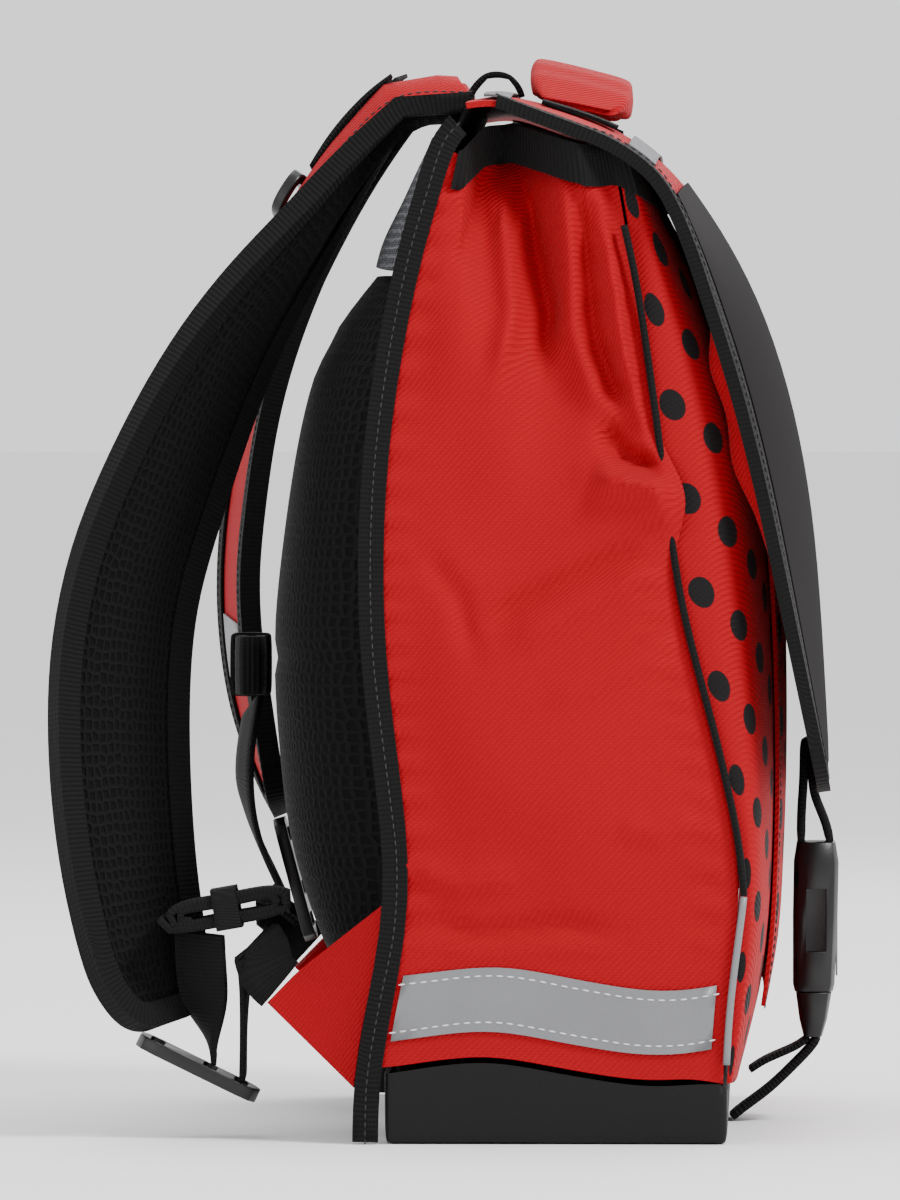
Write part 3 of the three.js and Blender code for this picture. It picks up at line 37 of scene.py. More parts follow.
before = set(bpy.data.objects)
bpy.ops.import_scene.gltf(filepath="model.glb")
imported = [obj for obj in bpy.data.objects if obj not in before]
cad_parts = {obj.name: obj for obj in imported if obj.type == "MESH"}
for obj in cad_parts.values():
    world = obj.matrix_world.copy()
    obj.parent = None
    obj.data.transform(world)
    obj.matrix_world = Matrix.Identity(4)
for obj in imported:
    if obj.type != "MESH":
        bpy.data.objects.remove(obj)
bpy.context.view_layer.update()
BODY = "root"
MM = 0.001
SIDES = (("left", -1), ("right", 1))

# Thickness of the sewing thread
THREAD = 0.7 * MM
# Length of a stitch as a share of its pitch, on the dark tapes and on the grey one
STITCH_SHARE = 0.72
STRIP_STITCH_SHARE = 0.66
# Pitch of the dark seams as a share of the grey tape's
DARK_SEAM = 0.8

# Corners in one ring of each kind of swept piece
FOLDED_RING = 8
CORD_RING = 6
RIBBON_RING = 6
WEBBING_RING = 4
SLEEVE_RING = 10
STRAP_RING = 12

# Front wall's plan: a squared oval across the bag's width
HALF_WIDTH = 160 * MM
SQUARENESS = 4
WRAP_DEPTH = 45 * MM


# Colours and node helpers


def linear(text):
    """An sRGB hex value as linear RGBA."""
    parts = [int(text[i : i + 2], 16) / 255 for i in (0, 2, 4)]
    curve = [c / 12.92 if c <= 0.04045 else ((c + 0.055) / 1.055) ** 2.4 for c in parts]
    return (*curve, 1.0)


def add(tree, kind, inputs=(), **settings):
    """Adds a node with its settings, and sets or links its inputs."""
    node = tree.nodes.new(kind)
    for name, value in settings.items():
        setattr(node, name, value)
    for name, value in dict(inputs).items():
        if isinstance(value, bpy.types.NodeSocket):
            tree.links.new(value, node.inputs[name])
        else:
            node.inputs[name].default_value = value
    return node


def new_material(name):
    """A material with only a shader, its output and the tree to add to."""
    material = bpy.data.materials.new(name)
    material.use_nodes = True
    tree = material.node_tree
    tree.nodes.clear()
    shader = add(tree, "ShaderNodeBsdfPrincipled")
    add(tree, "ShaderNodeOutputMaterial", {"Surface": shader.outputs[0]})
    return material, tree, shader


def tune(shader, values):
    """Sets the shader's plain values."""
    for name, value in values.items():
        shader.inputs[name].default_value = value


def wave_scale(spacing):
    """Scale of a wave texture whose bands lie that far apart, in metres."""
    return 2 * math.pi / (20 * spacing)


def bands(tree, coordinates, spacing, direction="X", wobble=0.0):
    """Even bands, 0 to 1, across one axis of the coordinates."""
    values = {"Vector": coordinates, "Scale": wave_scale(spacing), "Distortion": wobble,
              "Detail": 1.0, "Detail Scale": 1.5}
    return add(tree, "ShaderNodeTexWave", values, bands_direction=direction).outputs["Fac"]


def mixed(tree, factor, first, second, blend="MIX"):
    """Colour mix of two colours or sockets."""
    node = add(tree, "ShaderNodeMix", data_type="RGBA", blend_type=blend)
    for index, value in ((0, factor), (6, first), (7, second)):
        if isinstance(value, bpy.types.NodeSocket):
            tree.links.new(value, node.inputs[index])
        else:
            node.inputs[index].default_value = value
    return node.outputs[2]


def calc(tree, operation, first, second=0.0):
    """One step of arithmetic."""
    node = add(tree, "ShaderNodeMath", {0: first, 1: second}, operation=operation)
    return node.outputs[0]


def bump(tree, shader, height, depth, strength=1.0):
    """Bump of that depth, in metres, on the shader's normal."""
    node = add(
        tree, "ShaderNodeBump", {"Height": height, "Distance": depth, "Strength": strength}
    )
    tree.links.new(node.outputs[0], shader.inputs["Normal"])


# Materials


def twill_material(name, colour, dots=None):
    """Polyester twill: slanted ribs of thread with a dull sheen, printed with dots or plain."""
    material, tree, shader = new_material(name)
    place = add(tree, "ShaderNodeTexCoord").outputs["Object"]
    # Twill lines 1.9 mm apart on an upright wall, coarser than real ones so that they show
    ribs = add(
        tree,
        "ShaderNodeTexWave",
        {"Vector": place, "Scale": 2 * wave_scale(1.9 * MM * math.sqrt(2)), "Distortion": 0.6,
         "Detail": 2.0, "Detail Scale": 3.0},
        bands_direction="DIAGONAL",
    ).outputs["Fac"]
    weft = bands(tree, place, 1.1 * MM, "Z", 0.4)
    softened = calc(tree, "ADD", 0.65, calc(tree, "MULTIPLY", weft, 0.35))
    weave = calc(tree, "MULTIPLY", ribs, softened)
    patches = add(
        tree, "ShaderNodeTexNoise", {"Vector": place, "Scale": 1 / (60 * MM), "Detail": 3.0}
    ).outputs["Fac"]
    tone = mixed(tree, patches, shade(colour, 0.9), shade(colour, 1.06))
    cloth = mixed(tree, calc(tree, "MULTIPLY", calc(tree, "SUBTRACT", 1.0, weave), 0.3), tone,
                  shade(colour, 0.5))
    if dots:
        cloth = mixed(tree, dot_mask(tree, **dots), cloth, linear("161415"))
    tree.links.new(cloth, shader.inputs["Base Color"])
    tune(shader, {"Roughness": 0.72, "Sheen Weight": 0.03, "Sheen Roughness": 0.4,
                  "Specular IOR Level": 0.12})
    bump(tree, shader, weave, 0.35 * MM)
    return material


def dot_mask(tree, diameter, pitch, slant):
    """Round dots on a staggered grid, read from the cloth's own flat coordinates."""
    flat = add(tree, "ShaderNodeUVMap", uv_map="cloth").outputs["UV"]
    axes = add(tree, "ShaderNodeSeparateXYZ", {"Vector": flat})
    across = axes.outputs["X"]
    up = calc(tree, "ADD", axes.outputs["Y"], calc(tree, "MULTIPLY", across, slant))
    cell = add(tree, "ShaderNodeCombineXYZ", {"X": across, "Y": up}).outputs[0]
    distances = []
    for offset in (0.0, 0.5):
        spot = add(tree, "ShaderNodeVectorMath",
                   {0: cell, 1: (1 / pitch, 1 / pitch, 0), 2: (offset, offset, 0)},
                   operation="MULTIPLY_ADD").outputs[0]
        part = add(tree, "ShaderNodeVectorMath", {0: spot}, operation="FRACTION").outputs[0]
        middle = add(
            tree, "ShaderNodeVectorMath", {0: part, 1: (0.5, 0.5, 0)}, operation="SUBTRACT"
        ).outputs[0]
        offset_axes = add(tree, "ShaderNodeSeparateXYZ", {"Vector": middle})
        lean = calc(tree, "MULTIPLY", offset_axes.outputs["X"], slant)
        rise = calc(tree, "SUBTRACT", offset_axes.outputs["Y"], lean)
        true = add(tree, "ShaderNodeCombineXYZ", {"X": offset_axes.outputs["X"], "Y": rise})
        length = add(tree, "ShaderNodeVectorMath", {0: true.outputs[0]}, operation="LENGTH")
        distances.append(length.outputs["Value"])
    nearest = calc(tree, "MINIMUM", *distances)
    radius = diameter / pitch / 2
    return add(tree, "ShaderNodeMapRange",
               {"Value": nearest, "From Min": radius * 1.03, "From Max": radius * 0.97}).outputs[0]


def shade(colour, factor):
    """A colour made darker or lighter."""
    return (*[min(c * factor, 1.0) for c in colour[:3]], 1.0)


def tape_material(name, colour, spacing, contrast=0.5, roughness=0.8):
    """Grosgrain or ribbon: fine ribs across the tape, read from its own flat coordinates."""
    material, tree, shader = new_material(name)
    flat = add(tree, "ShaderNodeUVMap", uv_map="cloth").outputs["UV"]
    ribs = bands(tree, flat, spacing, "Y", 0.3)
    warp = bands(tree, flat, spacing * 0.7, "X", 0.2)
    place = add(tree, "ShaderNodeTexCoord").outputs["Object"]
    fuzz = add(tree, "ShaderNodeTexNoise", {"Vector": place, "Scale": 1 / (3 * MM)}).outputs["Fac"]
    body = calc(tree, "ADD", calc(tree, "MULTIPLY", ribs, 0.8), calc(tree, "MULTIPLY", warp, 0.2))
    colours = mixed(tree, body, shade(colour, 1 - contrast), shade(colour, 1 + contrast))
    colours = mixed(tree, calc(tree, "MULTIPLY", fuzz, 0.3), colours, shade(colour, 1.6))
    tree.links.new(colours, shader.inputs["Base Color"])
    tune(shader, {"Roughness": roughness, "Sheen Weight": 0.02, "Specular IOR Level": 0.15})
    bump(tree, shader, body, 0.35 * MM)
    return material


def spacer_material(name, thread, hole_shade, size, stretch):
    """Spacer mesh over foam: open cells in a knitted face, with painted shade in their holes."""
    material, tree, shader = new_material(name)
    flat = add(tree, "ShaderNodeUVMap", uv_map="cloth").outputs["UV"]
    scaled = add(
        tree, "ShaderNodeVectorMath", {0: flat, 1: (1 / size, 1 / (size * stretch), 0)},
        operation="MULTIPLY",
    ).outputs[0]
    cells = add(tree, "ShaderNodeTexVoronoi",
                {"Vector": scaled, "Scale": 1.0, "Randomness": 0.45},
                feature="DISTANCE_TO_EDGE", voronoi_dimensions="2D").outputs["Distance"]
    ridge = add(
        tree, "ShaderNodeMapRange", {"Value": cells, "From Min": 0.28, "From Max": 0.1}
    ).outputs[0]
    yarn = bands(tree, flat, 0.9 * MM, "Y", 0.5)
    # Cell middles take the darker hole colour: painted shade where the mesh opens into the pad
    colours = mixed(tree, ridge, hole_shade, mixed(tree, yarn, shade(thread, 0.7), shade(thread, 1.35)))
    tree.links.new(colours, shader.inputs["Base Color"])
    tune(shader, {"Roughness": 0.85, "Sheen Weight": 0.01, "Specular IOR Level": 0.12})
    bump(tree, shader, ridge, 0.8 * MM)
    return material


def moulded_material(name, colour, roughness, grain, depth, gloss=0.4):
    """Moulded nylon or coated cloth: an even, softly glossy skin with a fine pebble."""
    material, tree, shader = new_material(name)
    place = add(tree, "ShaderNodeTexCoord").outputs["Object"]
    pebble = add(
        tree, "ShaderNodeTexVoronoi", {"Vector": place, "Scale": 1 / grain}, feature="SMOOTH_F1"
    ).outputs["Distance"]
    wear = add(
        tree, "ShaderNodeTexNoise", {"Vector": place, "Scale": 1 / (18 * MM), "Detail": 4.0}
    ).outputs["Fac"]
    tree.links.new(mixed(tree, wear, shade(colour, 0.8), shade(colour, 1.25)),
                   shader.inputs["Base Color"])
    rough = add(
        tree, "ShaderNodeMapRange", {"Value": wear, "To Min": roughness - 0.06,
                                     "To Max": roughness + 0.08}
    ).outputs[0]
    tree.links.new(rough, shader.inputs["Roughness"])
    shader.inputs["Specular IOR Level"].default_value = gloss
    bump(tree, shader, pebble, depth)
    return material


def reflective_material(name, colour):
    """Glass bead tape: a smooth grey skin with a soft, broad sheen and a fine grid."""
    material, tree, shader = new_material(name)
    place = add(tree, "ShaderNodeTexCoord").outputs["Object"]
    beads = add(
        tree, "ShaderNodeTexVoronoi", {"Vector": place, "Scale": 1 / (0.8 * MM)}
    ).outputs["Distance"]
    drift = add(
        tree, "ShaderNodeTexNoise", {"Vector": place, "Scale": 1 / (25 * MM), "Detail": 2.0}
    ).outputs["Fac"]
    colours = mixed(tree, drift, shade(colour, 0.9), shade(colour, 1.12))
    tree.links.new(mixed(tree, calc(tree, "MULTIPLY", beads, 0.25), colours, shade(colour, 0.7)),
                   shader.inputs["Base Color"])
    tune(shader, {"Metallic": 0.15, "Roughness": 0.42})
    bump(tree, shader, beads, 0.06 * MM)
    return material


def film_material(name, colour):
    """Clear film over dark cloth: a glossy coat on a faintly mottled ground."""
    material, tree, shader = new_material(name)
    place = add(tree, "ShaderNodeTexCoord").outputs["Object"]
    cloud = add(
        tree, "ShaderNodeTexNoise", {"Vector": place, "Scale": 1 / (90 * MM), "Detail": 3.0}
    ).outputs["Fac"]
    tree.links.new(mixed(tree, cloud, shade(colour, 0.7), shade(colour, 1.3)),
                   shader.inputs["Base Color"])
    tune(shader, {"Roughness": 0.5, "Specular IOR Level": 0.0, "Coat Weight": 0.1,
                  "Coat Roughness": 0.25})
    bump(tree, shader, cloud, 0.6 * MM)
    return material


def thread_material(name, colour):
    """Sewing thread: matte with a slight twist."""
    material, tree, shader = new_material(name)
    place = add(tree, "ShaderNodeTexCoord").outputs["Object"]
    twist = bands(tree, place, 0.5 * MM, "DIAGONAL")
    tree.links.new(mixed(tree, twist, shade(colour, 0.75), colour), shader.inputs["Base Color"])
    shader.inputs["Roughness"].default_value = 0.6
    return material


def floor_material(name, colour):
    """Pale matte paper sweep with a faint mottle."""
    material, tree, shader = new_material(name)
    place = add(tree, "ShaderNodeTexCoord").outputs["Object"]
    cloud = add(tree, "ShaderNodeTexNoise", {"Vector": place, "Scale": 2.0}).outputs["Fac"]
    tree.links.new(mixed(tree, cloud, shade(colour, 0.985), colour), shader.inputs["Base Color"])
    shader.inputs["Roughness"].default_value = 0.9
    return material


# Mesh helpers


def linked(name, data):
    """A new object in the scene."""
    item = bpy.data.objects.new(name, data)
    bpy.context.scene.collection.objects.link(item)
    return item


# Distance within which a CAD mesh's corners are one
MERGE = 0.005 * MM
# Angles within which two triangles become one quad: between their faces, and in its shape
QUAD_BEND = 0.6
QUAD_SKEW = 1.2
# Degrees past the crease angle at which shading turns sharp
SHARP_MARGIN = 5


def cad_mesh(node):
    """Copy of a CAD node's mesh with its corners merged."""
    mesh = bmesh.new()
    mesh.from_mesh(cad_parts[node].data)
    bmesh.ops.remove_doubles(mesh, verts=mesh.verts, dist=MERGE)
    mesh.verts.index_update()
    return mesh


def rows_of(mesh, key, count):
    """Rows of a swept or gridded piece, from the count corners that come first by key."""
    start = sorted(mesh.verts, key=lambda v: key(v.co))[:count]
    rows = [start]
    seen = set(start)
    while True:
        edges = [e for v in rows[-1] for e in v.link_edges]
        nearby = {v for e in edges for v in e.verts if v not in seen}
        if not nearby:
            return rows
        rows.append(sorted(nearby, key=lambda v: v.index))
        seen |= nearby


def centre_of(row):
    """Middle of a row of corners."""
    return sum((v.co for v in row), Vector()) / len(row)


def flat_coordinates(mesh, key, count):
    """Lays the piece out flat: across and along in metres, kept as the map that cloth reads."""
    rows = rows_of(mesh, key, count)
    centres = [centre_of(row) for row in rows]
    place = {}
    along = 0.0
    hint = None
    for i, row in enumerate(rows):
        if i:
            along += (centres[i] - centres[i - 1]).length
        far = max(row, key=lambda v: (v.co - centres[i]).length)
        across = (far.co - centres[i]).normalized()
        if hint and across.dot(hint) < 0:
            across.negate()
        hint = across
        for v in row:
            place[v] = ((v.co - centres[i]).dot(across), along)
    write_map(mesh, lambda v: place.get(v, (0.0, 0.0)))
    return rows, centres


def write_map(mesh, at):
    """Writes the cloth map of a mesh from a function of its corners."""
    layer = mesh.loops.layers.uv.new("cloth")
    for face in mesh.faces:
        for loop in face.loops:
            loop[layer].uv = at(loop.vert)


def plane_map(mesh, first, second):
    """Cloth map straight from two axes of the frame."""
    write_map(mesh, lambda v: (v.co[first], v.co[second]))


def finished(mesh, name, node, slot, material, levels=1, crease=38, bevel=0.0, edit=None):
    """Turns a bmesh into a smooth piece that stands for its CAD node."""
    sharp = math.radians(crease)
    bmesh.ops.join_triangles(
        mesh, faces=mesh.faces, angle_face_threshold=QUAD_BEND, angle_shape_threshold=QUAD_SKEW
    )
    creases = mesh.edges.layers.float.new("crease_edge")
    for edge in mesh.edges:
        if len(edge.link_faces) == 2 and edge.calc_face_angle() > sharp:
            edge[creases] = 1.0
    data = bpy.data.meshes.new(name)
    mesh.to_mesh(data)
    mesh.free()
    piece = linked(name, data)
    if bevel:
        rounding = piece.modifiers.new("edge", "BEVEL")
        rounding.width = bevel
        rounding.segments = 2
        rounding.limit_method = "ANGLE"
        rounding.angle_limit = sharp
    if levels:
        smooth = piece.modifiers.new("smooth", "SUBSURF")
        smooth.levels = levels
        smooth.render_levels = levels
    bake(piece)
    if edit:
        edit(piece.data)
    settle(piece, slot, material, node)
    piece.data.shade_smooth()
    piece.data.set_sharp_from_angle(angle=math.radians(crease + SHARP_MARGIN))
    return piece


def bake(piece):
    """Replaces a piece's mesh by its evaluated one and removes its modifiers."""
    graph = bpy.context.evaluated_depsgraph_get()
    graph.update()
    old = piece.data
    piece.data = bpy.data.meshes.new_from_object(piece.evaluated_get(graph))
    piece.data.name = piece.name
    piece.modifiers.clear()
    bpy.data.meshes.remove(old)


def settle(piece, slot, material, *nodes):
    """Gives a piece its material and its body, and hides the CAD nodes that it stands for; slot is
    not used.
    """
    piece.data.materials.clear()
    piece.data.materials.append(MATERIALS[material])
    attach(piece, BODY)
    if nodes:
        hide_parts(*nodes)


MATERIALS = {}


def area_of(piece):
    """Area of one face of a sheet, in square metres."""
    return sum(polygon.area for polygon in piece.data.polygons) / 2


# Sheets cut as plain strips, whose area is their width by their length
STRIPS = ("flap_tape_rear", "flap_tape_front", "strap_cover_left", "strap_cover_right")


def declare_sheet(piece):
    """Works out the node that a sheet stands for and, for a shaped cut, its area."""
    node = piece.name.removeprefix("dressed_")
    area = None if node in STRIPS else area_of(piece)


# Folds of the gusset beyond the frame's own: points (y, z) in mm, half-width and lift in mm
GUSSET_FOLDS = [
    # Shadowed hollow under the flap's edge
    ([(-16, 372), (2, 366), (24, 372)], 9, -5.0),
    # Creases that fall from it over the upper third
    ([(24, 372), (17, 350), (13, 322), (20, 296)], 6, 4.2),
    ([(12, 374), (6, 348), (-1, 322), (2, 300)], 5, -4.6),
    ([(-4, 370), (-8, 340), (-10, 316), (-22, 284)], 6, 3.6),
    ([(-13, 366), (-17, 335), (-20, 312), (-33, 280)], 5, -5.0),
    # Ridge down to the elbow bulge, the dark hollow above the bulge and the bulge itself
    ([(-21, 362), (-27, 335), (-31, 312), (-42, 280), (-46, 262)], 6, 4.4),
    ([(-22, 284), (-30, 268), (-42, 262)], 6, -5.5),
    ([(-16, 262), (-34, 258), (-50, 250)], 8, 5.5),
    # Slanted creases over the middle
    ([(-50, 240), (-22, 226), (6, 212), (28, 200)], 7, -2.6),
    ([(-44, 228), (-12, 212), (18, 194)], 8, 2.4),
    ([(-56, 200), (-26, 184), (4, 172)], 7, 1.6),
    ([(48, 232), (34, 214), (28, 190)], 6, -1.6),
    # Level creases above the grey tape
    ([(54, 108), (34, 102), (8, 106)], 6, 1.8),
    ([(52, 88), (26, 82), (-6, 86), (-30, 82)], 5, -1.8),
    ([(46, 76), (12, 74), (-32, 77)], 5, 1.4),
    ([(-62, 130), (-44, 122), (-26, 124)], 6, 1.3),
]
# Share of the table's lifts that the cloth takes
FOLD_STRENGTH = 1.35

# Where the fold table fades out: top and bottom heights and the seams' margin, in mm
FOLD_TOP = 384
FOLD_FOOT = 72
SEAM_MARGIN = 9
# Fade of the folds below that top and above that foot, in mm
FOLD_FADE = (14, 8)
# Levels by which the gusset's edges are found, in a metre of height
EDGE_LEVELS = 200

# Elbow where the slack cloth hangs over the front seam: place (y, z), radius, forward and
# outward push, in mm
ELBOW = (-50, 254)
ELBOW_RADIUS = 19
ELBOW_FORWARD = 9
ELBOW_OUTWARD = 5

# Lift of small puckers beside seams, and their spacing along the seam, in mm
PUCKER = 0.7
PUCKER_PITCH = 13
# Their distance from the seam, and half the band that they fill, in mm
PUCKER_BAND = (11, 7)


def corners(data):
    """A mesh's corners, each with its normal from before any of them moves."""
    return list(zip(data.vertices, [vertex.normal.copy() for vertex in data.vertices]))


def toward(value, low, high):
    """Smooth step from 0 to 1."""
    t = min(max((value - low) / (high - low), 0.0), 1.0)
    return t * t * (3 - 2 * t)


def reach(point, path):
    """Distance from a point to a path in a plane, and how far along it that is, 0 to 1."""
    best = (1e9, 0.0)
    count = len(path) - 1
    for i in range(count):
        start, end = Vector(path[i]), Vector(path[i + 1])
        leg = end - start
        t = min(max((point - start).dot(leg) / leg.length_squared, 0.0), 1.0)
        best = min(best, ((start + leg * t - point).length, (i + t) / count))
    return best


# Rise of the gussets' upper hem under the flap, in mm: (y, rise), and the heights where it starts
HEM_RISE = [
    (-44, 0), (-36, 6), (-26, 12), (-13, 16), (0, 17), (13, 17), (24, 12), (33, 0)
]
HEM_START = (300, 372)
# Inward tuck of the hem in mm, the rise at which it is full, and how far out the hem begins
HEM_TUCK = 6
HEM_FULL = 12
HEM_SIDE = 120 * MM


def raise_hem(data):
    """Lifts the mouth's hem at the bag's sides, most over the middle of each gusset."""
    for vertex in data.vertices:
        y, z = vertex.co.y * 1000, vertex.co.z * 1000
        if abs(vertex.co.x) < HEM_SIDE:
            continue
        rise = float(np.interp(y, [p[0] for p in HEM_RISE], [p[1] for p in HEM_RISE]))
        share = toward(z, *HEM_START)
        tuck = HEM_TUCK * share * min(rise / HEM_FULL, 1.0)
        vertex.co.z += rise * share * MM
        vertex.co.x -= math.copysign(tuck, vertex.co.x) * MM


def crumple(data, side):
    """Adds the named folds and the seam puckers to a gusset's two faces."""
    front = {}
    back = {}
    for vertex in data.vertices:
        row = round(vertex.co.z * EDGE_LEVELS)
        front[row] = min(front.get(row, 1.0), vertex.co.y)
        back[row] = max(back.get(row, -1.0), vertex.co.y)
    for vertex in data.vertices:
        y, z = vertex.co.y * 1000, vertex.co.z * 1000
        row = round(vertex.co.z * EDGE_LEVELS)
        margin = min(y - front[row] * 1000, back[row] * 1000 - y)
        window = toward(margin, 2, SEAM_MARGIN) * toward(FOLD_TOP - z, 0, FOLD_FADE[0])
        window *= toward(z, FOLD_FOOT, FOLD_FOOT + FOLD_FADE[1])
        lift = 0.0
        for path, half, height in GUSSET_FOLDS:
            far, along = reach(Vector((y, z)), path)
            if far < 2.5 * half:
                ends = toward(min(along, 1 - along), 0.0, 0.25) * 0.8 + 0.2
                lift += height * ends * math.exp(-((far / half) ** 2) * 1.6)
        beside = math.exp(-(((margin - PUCKER_BAND[0]) / PUCKER_BAND[1]) ** 2))
        lift += PUCKER * beside * math.sin(2 * math.pi * z / PUCKER_PITCH + 2 * math.sin(z / 31))
        bulge = math.exp(-((Vector((y, z)) - Vector(ELBOW)).length / ELBOW_RADIUS) ** 2)
        vertex.co.y -= ELBOW_FORWARD * bulge * MM
        vertex.co.x += side * (FOLD_STRENGTH * lift * window + ELBOW_OUTWARD * bulge) * MM
    raise_hem(data)


# Height of the strap's stuffed upper bend, in mm, and the heights between which it stands
BEND_PUFF = 11
BEND_SPAN = (300, 385)
# Way that it rises, half the cloth's width in mm, and where across it the tab sits
BEND_WAY = Vector((0, 0.45, 0.9))
BEND_HALF = 24
TAB_SHARE = 0.25
# Depth in mm by which the strap's tab and the buckle's patch sit in what they lie on
TAB_SEAT = 1.1
PATCH_SEAT = 1.4
# Fullness given to flat webbing and to rolled webbing
WEBBING_BODY = 0.45 * MM
ROLL_BODY = 1.0 * MM


def bend_lift(place, share):
    """Outward move of the strap's upper bend at a height, less toward its edges."""
    height = toward(place.z * 1000, *BEND_SPAN) * (1 - share**2.5)
    return BEND_WAY * height * BEND_PUFF * MM


def stuff_bend(data):
    """Puffs the red layer where the strap bends over at the top."""
    flat = {}
    layer = data.uv_layers["cloth"].data
    for loop in data.loops:
        flat[loop.vertex_index] = layer[loop.index].uv[0] * 1000
    normals = [vertex.normal.copy() for vertex in data.vertices]
    for index, vertex in enumerate(data.vertices):
        share = min(abs(flat.get(index, 0.0)) / BEND_HALF, 1.0)
        lift = bend_lift(vertex.co, share)
        if lift.length:
            facing = normals[index].dot(lift.normalized())
            vertex.co += lift * toward(facing, -1.5, 1.0)


def carry_up(data):
    """Moves what is sewn on the strap's upper bend with the puffed layer."""
    for vertex in data.vertices:
        vertex.co += bend_lift(vertex.co, TAB_SHARE) - BEND_WAY * TAB_SEAT * MM


def fatten(data, amount=WEBBING_BODY):
    """Gives webbing the body of its double weave."""
    for vertex, normal in corners(data):
        vertex.co += normal * amount


# Slack lining of the flap's side edges, in mm: heights and distances from the middle at which it
# starts, is full, fades and ends, and its depth
LINING_SPAN = (212, 250, 300, 345)
LINING_BAND = (112, 140, 151, 157)
LINING_DEPTH = 11


def puff_lining(data):
    """Lets the flap's lining hang slack toward the bag inside its side bindings."""
    for vertex, normal in corners(data):
        if normal.y < 0.2:
            continue
        z, x = vertex.co.z * 1000, abs(vertex.co.x) * 1000
        window = 1.0
        for value, (start, full, fade, end) in ((z, LINING_SPAN), (x, LINING_BAND)):
            window *= toward(value, start, full) * toward(end - value, 0, end - fade)
        wave = 0.75 + 0.25 * math.sin(z / 9) * math.sin(z / 23)
        vertex.co.y += LINING_DEPTH * window * wave * MM


def pack_roll(data):
    """Closes the turns of a rolled strap up to one another."""
    fatten(data, ROLL_BODY)


def press_patch(data):
    """Sets the buckle's patch back against its curved face."""
    for vertex in data.vertices:
        vertex.co.y += PATCH_SEAT * MM


# Drop of the handle's slack underside, in mm, and the half-width over which it hangs
HANDLE_DROP = 4
HANDLE_SLACK = 62
# Length over which the slack fades out, and height of its wrinkles, in mm
HANDLE_FADE = 20
HANDLE_RIPPLE = 0.5


def slacken_handle(data):
    """Lets the padded sleeve sag toward the flap, with shallow wrinkles across it."""
    for vertex, normal in corners(data):
        place = vertex.co.x * 1000
        window = toward(HANDLE_SLACK - abs(place), 0, HANDLE_FADE)
        drop = HANDLE_DROP * window * toward(-normal.z, -0.1, 0.8)
        ripple = HANDLE_RIPPLE * window * math.sin(place / 3.1) * math.sin(place / 17 + 1)
        vertex.co.z -= (drop + ripple) * MM


# Fullness of the yoke's lower edge, and its height from foot to top, in mm
YOKE_PUFF = 4
YOKE_RISE = (341, 396)
# Half its width, and the margin in which the fullness fades, in mm
YOKE_HALF = 138
YOKE_FADE = 18

# Heights of the lowest and highest quilted channel, and half a channel's width, in mm
QUILT_SPAN = (70, 310)
CHANNEL_HALF = 3.0


def fill_yoke(data):
    """Fills the yoke's foam down to the pads' own thickness."""
    for vertex, normal in corners(data):
        low = 1 - toward(vertex.co.z * 1000, *YOKE_RISE)
        edge = toward(YOKE_HALF - abs(vertex.co.x) * 1000, 0, YOKE_FADE)
        vertex.co.y += YOKE_PUFF * low * edge * toward(normal.y, -0.2, 0.4) * MM


def quilt(data, channels, depth):
    """Presses stitched channels into a padded piece's outer face."""
    for vertex, normal in corners(data):
        if normal.y < 0.2:
            continue
        height = vertex.co.z * 1000
        press = sum(math.exp(-(((height - c) / CHANNEL_HALF) ** 2)) for c in channels)
        vertex.co.y -= depth * press * MM * toward(normal.y, 0.2, 0.7)


# Stitches


def stitch_group():
    """Geometry nodes that lay threads end to end along a line."""
    tree = bpy.data.node_groups.new("Stitches", "GeometryNodeTree")
    sockets = {}
    wanted = [
        ("Line", "INPUT", "NodeSocketGeometry"),
        ("Pitch", "INPUT", "NodeSocketFloat"),
        ("Thread", "INPUT", "NodeSocketFloat"),
        ("Length", "INPUT", "NodeSocketFloat"),
        ("Material", "INPUT", "NodeSocketMaterial"),
        ("Stitches", "OUTPUT", "NodeSocketGeometry"),
    ]
    for name, way, kind in wanted:
        sockets[name] = tree.interface.new_socket(name=name, in_out=way, socket_type=kind)
    given = add(tree, "NodeGroupInput").outputs
    curve = add(tree, "GeometryNodeMeshToCurve", {"Mesh": given["Line"]})
    spaced = add(tree, "GeometryNodeResampleCurve", {"Curve": curve.outputs[0]}, mode="LENGTH")
    tree.links.new(given["Pitch"], spaced.inputs["Length"])
    tangent = add(tree, "GeometryNodeInputTangent").outputs[0]
    turned = add(tree, "FunctionNodeAlignRotationToVector", {"Vector": tangent}, axis="Z")
    size = add(tree, "ShaderNodeCombineXYZ",
               {"X": given["Thread"], "Y": given["Thread"], "Z": given["Length"]})
    thread = add(tree, "GeometryNodeMeshIcoSphere", {"Radius": 0.5, "Subdivisions": 2})
    placed = add(tree, "GeometryNodeInstanceOnPoints",
                 {"Points": spaced.outputs[0], "Instance": thread.outputs[0],
                  "Rotation": turned.outputs[0], "Scale": size.outputs[0]})
    real = add(tree, "GeometryNodeRealizeInstances", {"Geometry": placed.outputs[0]})
    painted = add(tree, "GeometryNodeSetMaterial",
                  {"Geometry": real.outputs[0], "Material": given["Material"]})
    add(tree, "NodeGroupOutput", {"Stitches": painted.outputs[0]})
    return tree, {name: socket.identifier for name, socket in sockets.items()}


